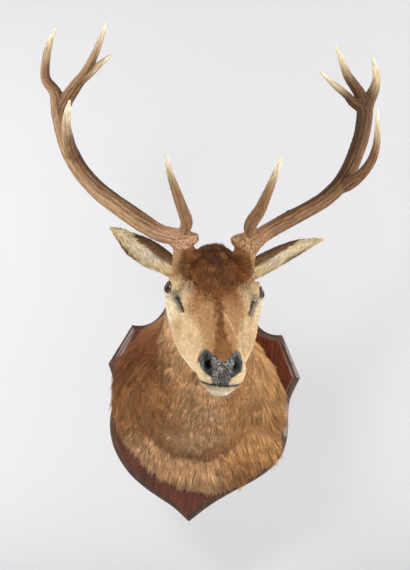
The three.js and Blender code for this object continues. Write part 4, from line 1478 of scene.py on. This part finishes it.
def build_skin():
    """The skin with its face formed, its points and what each of them belongs to."""
    mesh, anchors, marks = body_skin()
    _, _, a, b, c = places(points_of(mesh))
    near_eye = (np.hypot(a - 4, b) < 42) & (np.abs(c) > 40)
    near_groove = (segment_distance(a, b, TEAR_GROOVE)[0] < 10) & (np.abs(c) > TEAR_ACROSS)
    refine(mesh, near_eye | near_groove | (a > 146))
    points = relaxed(points_of(mesh), edges_of(mesh), 4, 0.6)
    own = nearest_marks(points, anchors, marks)
    set_points(mesh, points)
    set_points(mesh, sculpted(points, normals_of(mesh), own[:, 0] == 0))
    _, _, a, b, c = places(points_of(mesh))
    under_coat = (before_jaw(a, b) < 0.05) & (own[:, 0] == 0)
    mesh = thinned("skin", mesh, under_coat, PIECE_TRIANGLES)
    points = points_of(mesh)
    return mesh, points, nearest_marks(points, anchors, marks)


NECK_TUFTS = 86000
FACE_TUFTS = 30000
FOREHEAD_TUFTS = 9000
EAR_TUFTS = 10000
COAT_START = 27                  # no tuft has its root nearer to the wall
COAT_SEED = 5


def grow_coat(mesh, points, marks, bare, curly, front):
    """The neck, face, forehead and ears of the coat, in the order of their random draws."""
    kept = points_of(mesh)
    set_points(mesh, relaxed(points, edges_of(mesh), 12, 0.6))
    soft_normals = normals_of(mesh)
    set_points(mesh, kept)
    out, _, a, _, _ = places(points)
    on_body = marks[:, 0] == 0
    neck_share = (1 - front) * on_body * (1 - bare) * (out > COAT_START)
    face_share = front * (1 - bare) * (1 - 0.75 * curly)
    fur = marked_material("coat_fur", 260, 0.92, 1.05, 900, 0.0002, 0.62)
    coat = Coat(mesh, points, soft_normals, marks, COAT_SEED)

    sown = coat.sow(NECK_TUFTS, neck_share * (1 + 0.5 * past(out, 240, 60)))
    root_out = places(sown[0])[0]
    length = (25 + 27 * upto(root_out, 260, 110)) * (1 + 0.16 * waves(sown[0], 30, 19))
    fringe = upto(root_out, 150, 60)
    pieces = grow("coat_neck", sown, length, 1.45, 0.4, fur, coat.rng, 0.35 + 0.4 * fringe, 10, 0.17)

    sown = coat.sow(FACE_TUFTS, face_share * (1 + 0.8 * past(a, 100, 60)))
    root_a = places(sown[0])[2]
    length = 8.5 + 5 * upto(root_a, 40, 70) - 3 * past(root_a, 150, 60)
    pieces += grow("coat_face", sown, length, 1.25, 0.28, fur, coat.rng, 0.25, 8, 0.09,
                   spread=0.12, tones=(0.88, 1.0, 1.12))

    sown = coat.sow(FOREHEAD_TUFTS, curly * (1 - bare))
    full = forehead(*places(sown[0])[2:])
    room = burr_room(sown[0])
    length = (4 + 14 * room) * (0.45 + 0.55 * full)
    lift = 0.25 + 0.5 * room * full
    pieces += grow("coat_forehead", sown, length, 1.7, lift, fur, coat.rng, 0.5, 10, 0.22,
                   bends=2, curl=0.16, spread=0.4)

    sown = coat.sow(EAR_TUFTS, (marks[:, 0] > 0) * 1.0)
    number, t, v, face_side = sown[2].T
    rolled = v * np.where(number == 1, 1, -1) > roll_edge(t)
    inner = (face_side < 0) & ~rolled
    length = np.where(inner, 10 + 9 * upto(t, 0.33, 0.15), 8)
    pieces += grow("coat_ears", sown, length, 1.15, np.where(inner, 0.24, 0.2), fur, coat.rng, 0.2, 8, 0.07,
                   spread=0.15, tones=(0.85, 1.0, 1.12))
    for piece in pieces:
        place(piece, "coat")


def dress():
    """The skin with its coat, and the rims of the lids."""
    mesh, points, marks = build_skin()
    _, _, a, b, c = places(points)
    on_body = marks[:, 0] == 0
    bare = bareness(points)
    front = before_jaw(a, b) * on_body
    grow_coat(mesh, points, marks, bare, forehead(a, b, c) * on_body, front)

    shade = 1 - 0.42 * (1 - bare) * (0.2 + 0.8 * (1 - front))
    set_colours(mesh, markings(points, marks) * shade[:, None])
    mesh.materials.append(marked_material("skin_fur", 420, 0.9, 1.06, 700, 0.0006, 0.7))
    mesh.materials.append(marked_material("bare_skin", 500, 0.75, 1.2, 900, 0.0004, 0.42,
                                          Coat_Weight=0.4, Coat_Roughness=0.15))
    corner = values_of(mesh.loops, "vertex_index")
    start = values_of(mesh.polygons, "loop_start")
    on_pad = (nose_pad(a, b, c) * on_body)[corner[start]] > 0.5
    mesh.polygons.foreach_set("material_index", on_pad.astype(np.int32))
    set_smooth(mesh)
    place(new_object("skin", mesh), "coat", *FLESH)
    rims = new_mesh("lid_rims", *joined(lid_rims()))
    set_smooth(rims)
    lid_skin = plain_material("lid_skin", linear("#1c1411"), Roughness=0.45)
    place(new_object("lid_rims", rims, lid_skin), "coat")


dress()
bone = bone_material()
glass = glass_material()
for name, antler, seed in (("left", LEFT_ANTLER, 91), ("right", RIGHT_ANTLER, 97)):
    piece = new_object(f"{name}_antler", antler_mesh(antler, seed), bone)
    place(piece, "antler", *(f"{name}_antler_{node}" for node in ANTLER_NODES))
for name, side in (("left_eye", -1), ("right_eye", 1)):
    place(new_object(f"{name}_glass", eye_mesh(side), glass), "eye", name)
place(new_object("shield", shield_mesh(), wood_material()), "wood", "shield_board")

# ---- stage, light and camera

FLOOR = -0.43
WALL = 0.75


def stage_mesh():
    """A floor that sweeps up into a plain backdrop."""
    radius = 0.5
    profile = [(-6.0, FLOOR), (-2.0, FLOOR), (WALL - radius, FLOOR)]
    for k in range(1, 13):
        turn = k / 12 * math.pi / 2
        profile.append((WALL - radius + radius * math.sin(turn), FLOOR + radius * (1 - math.cos(turn))))
    profile.append((WALL, 4.0))
    points, faces = [], []
    for y, z in profile:
        points += [(-4000, y * 1000, z * 1000), (4000, y * 1000, z * 1000)]
    for k in range(len(profile) - 1):
        faces.append([2 * k, 2 * k + 1, 2 * k + 3, 2 * k + 2])
    mesh = new_mesh("backdrop", np.array(points, float), faces)
    set_smooth(mesh)
    return mesh


paper = plain_material("paper", linear("#c5c4c6"), Roughness=0.9)
new_object("backdrop", stage_mesh(), paper)

TARGET = Vector((0.03148, -0.25, 0.20516))
CAMERA_AZIMUTH = 10
CAMERA_ELEVATION = -7
CAMERA_ROLL = math.radians(4.82)
CAMERA_DISTANCE = 3.0
CAMERA_LENS = 100.1
CAMERA_SENSOR = 36


def direction(azimuth, elevation):
    """From what is looked at to a light or the camera; azimuth 0 is straight out from the wall."""
    turn, rise = math.radians(azimuth), math.radians(elevation)
    return Vector((math.sin(turn) * math.cos(rise), -math.cos(turn) * math.cos(rise), math.sin(rise)))


def add_area(name, azimuth, elevation, distance, size, power, target=TARGET):
    """A soft light that faces its target."""
    away = direction(azimuth, elevation)
    data = bpy.data.lights.new(name, "AREA")
    data.shape = "RECTANGLE"
    data.size, data.size_y = size
    data.energy = power
    light = new_object(name, data)
    light.location = target + away * distance
    light.rotation_euler = away.to_track_quat("Z", "Y").to_euler()


def add_camera():
    """The camera at the photograph's angle, tilted about its own axis."""
    back = direction(CAMERA_AZIMUTH, CAMERA_ELEVATION)
    level = (-back).cross(Vector((0, 0, 1))).normalized()
    rise = level.cross(-back)
    right = level * math.cos(CAMERA_ROLL) + rise * math.sin(CAMERA_ROLL)
    upright = rise * math.cos(CAMERA_ROLL) - level * math.sin(CAMERA_ROLL)
    data = bpy.data.cameras.new("camera")
    data.lens = CAMERA_LENS
    data.sensor_width = CAMERA_SENSOR
    camera = new_object("camera", data)
    turn = Matrix((right, upright, back)).transposed().to_4x4()
    camera.matrix_world = Matrix.Translation(TARGET + back * CAMERA_DISTANCE) @ turn
    bpy.context.scene.camera = camera


add_area("softbox_left", -52, 24, 2.4, (1.1, 1.5), 46)
add_area("softbox_right", 74, 10, 2.4, (1.1, 1.5), 57)
add_area("front_card", -4, 6.5, 2.9, (0.42, 0.42), 26)
add_area("low_fill", 20, -48, 2.2, (1.6, 1.2), 34)
add_area("high_fill", 10, 58, 2.6, (2.0, 1.4), 14)
add_area("wall_glow", -48, 0, 0.75, (0.5, 1.6), 2.4, Vector((-0.42, WALL, 0.1)))
world = bpy.data.worlds.new("studio")
world.use_nodes = True
sky = world.node_tree.nodes["Background"].inputs
sky["Color"].default_value = (1.0, 0.99, 0.98, 1)
sky["Strength"].default_value = 0.26
bpy.context.scene.world = world
bpy.context.scene.view_settings.view_transform = "Standard"
add_camera()
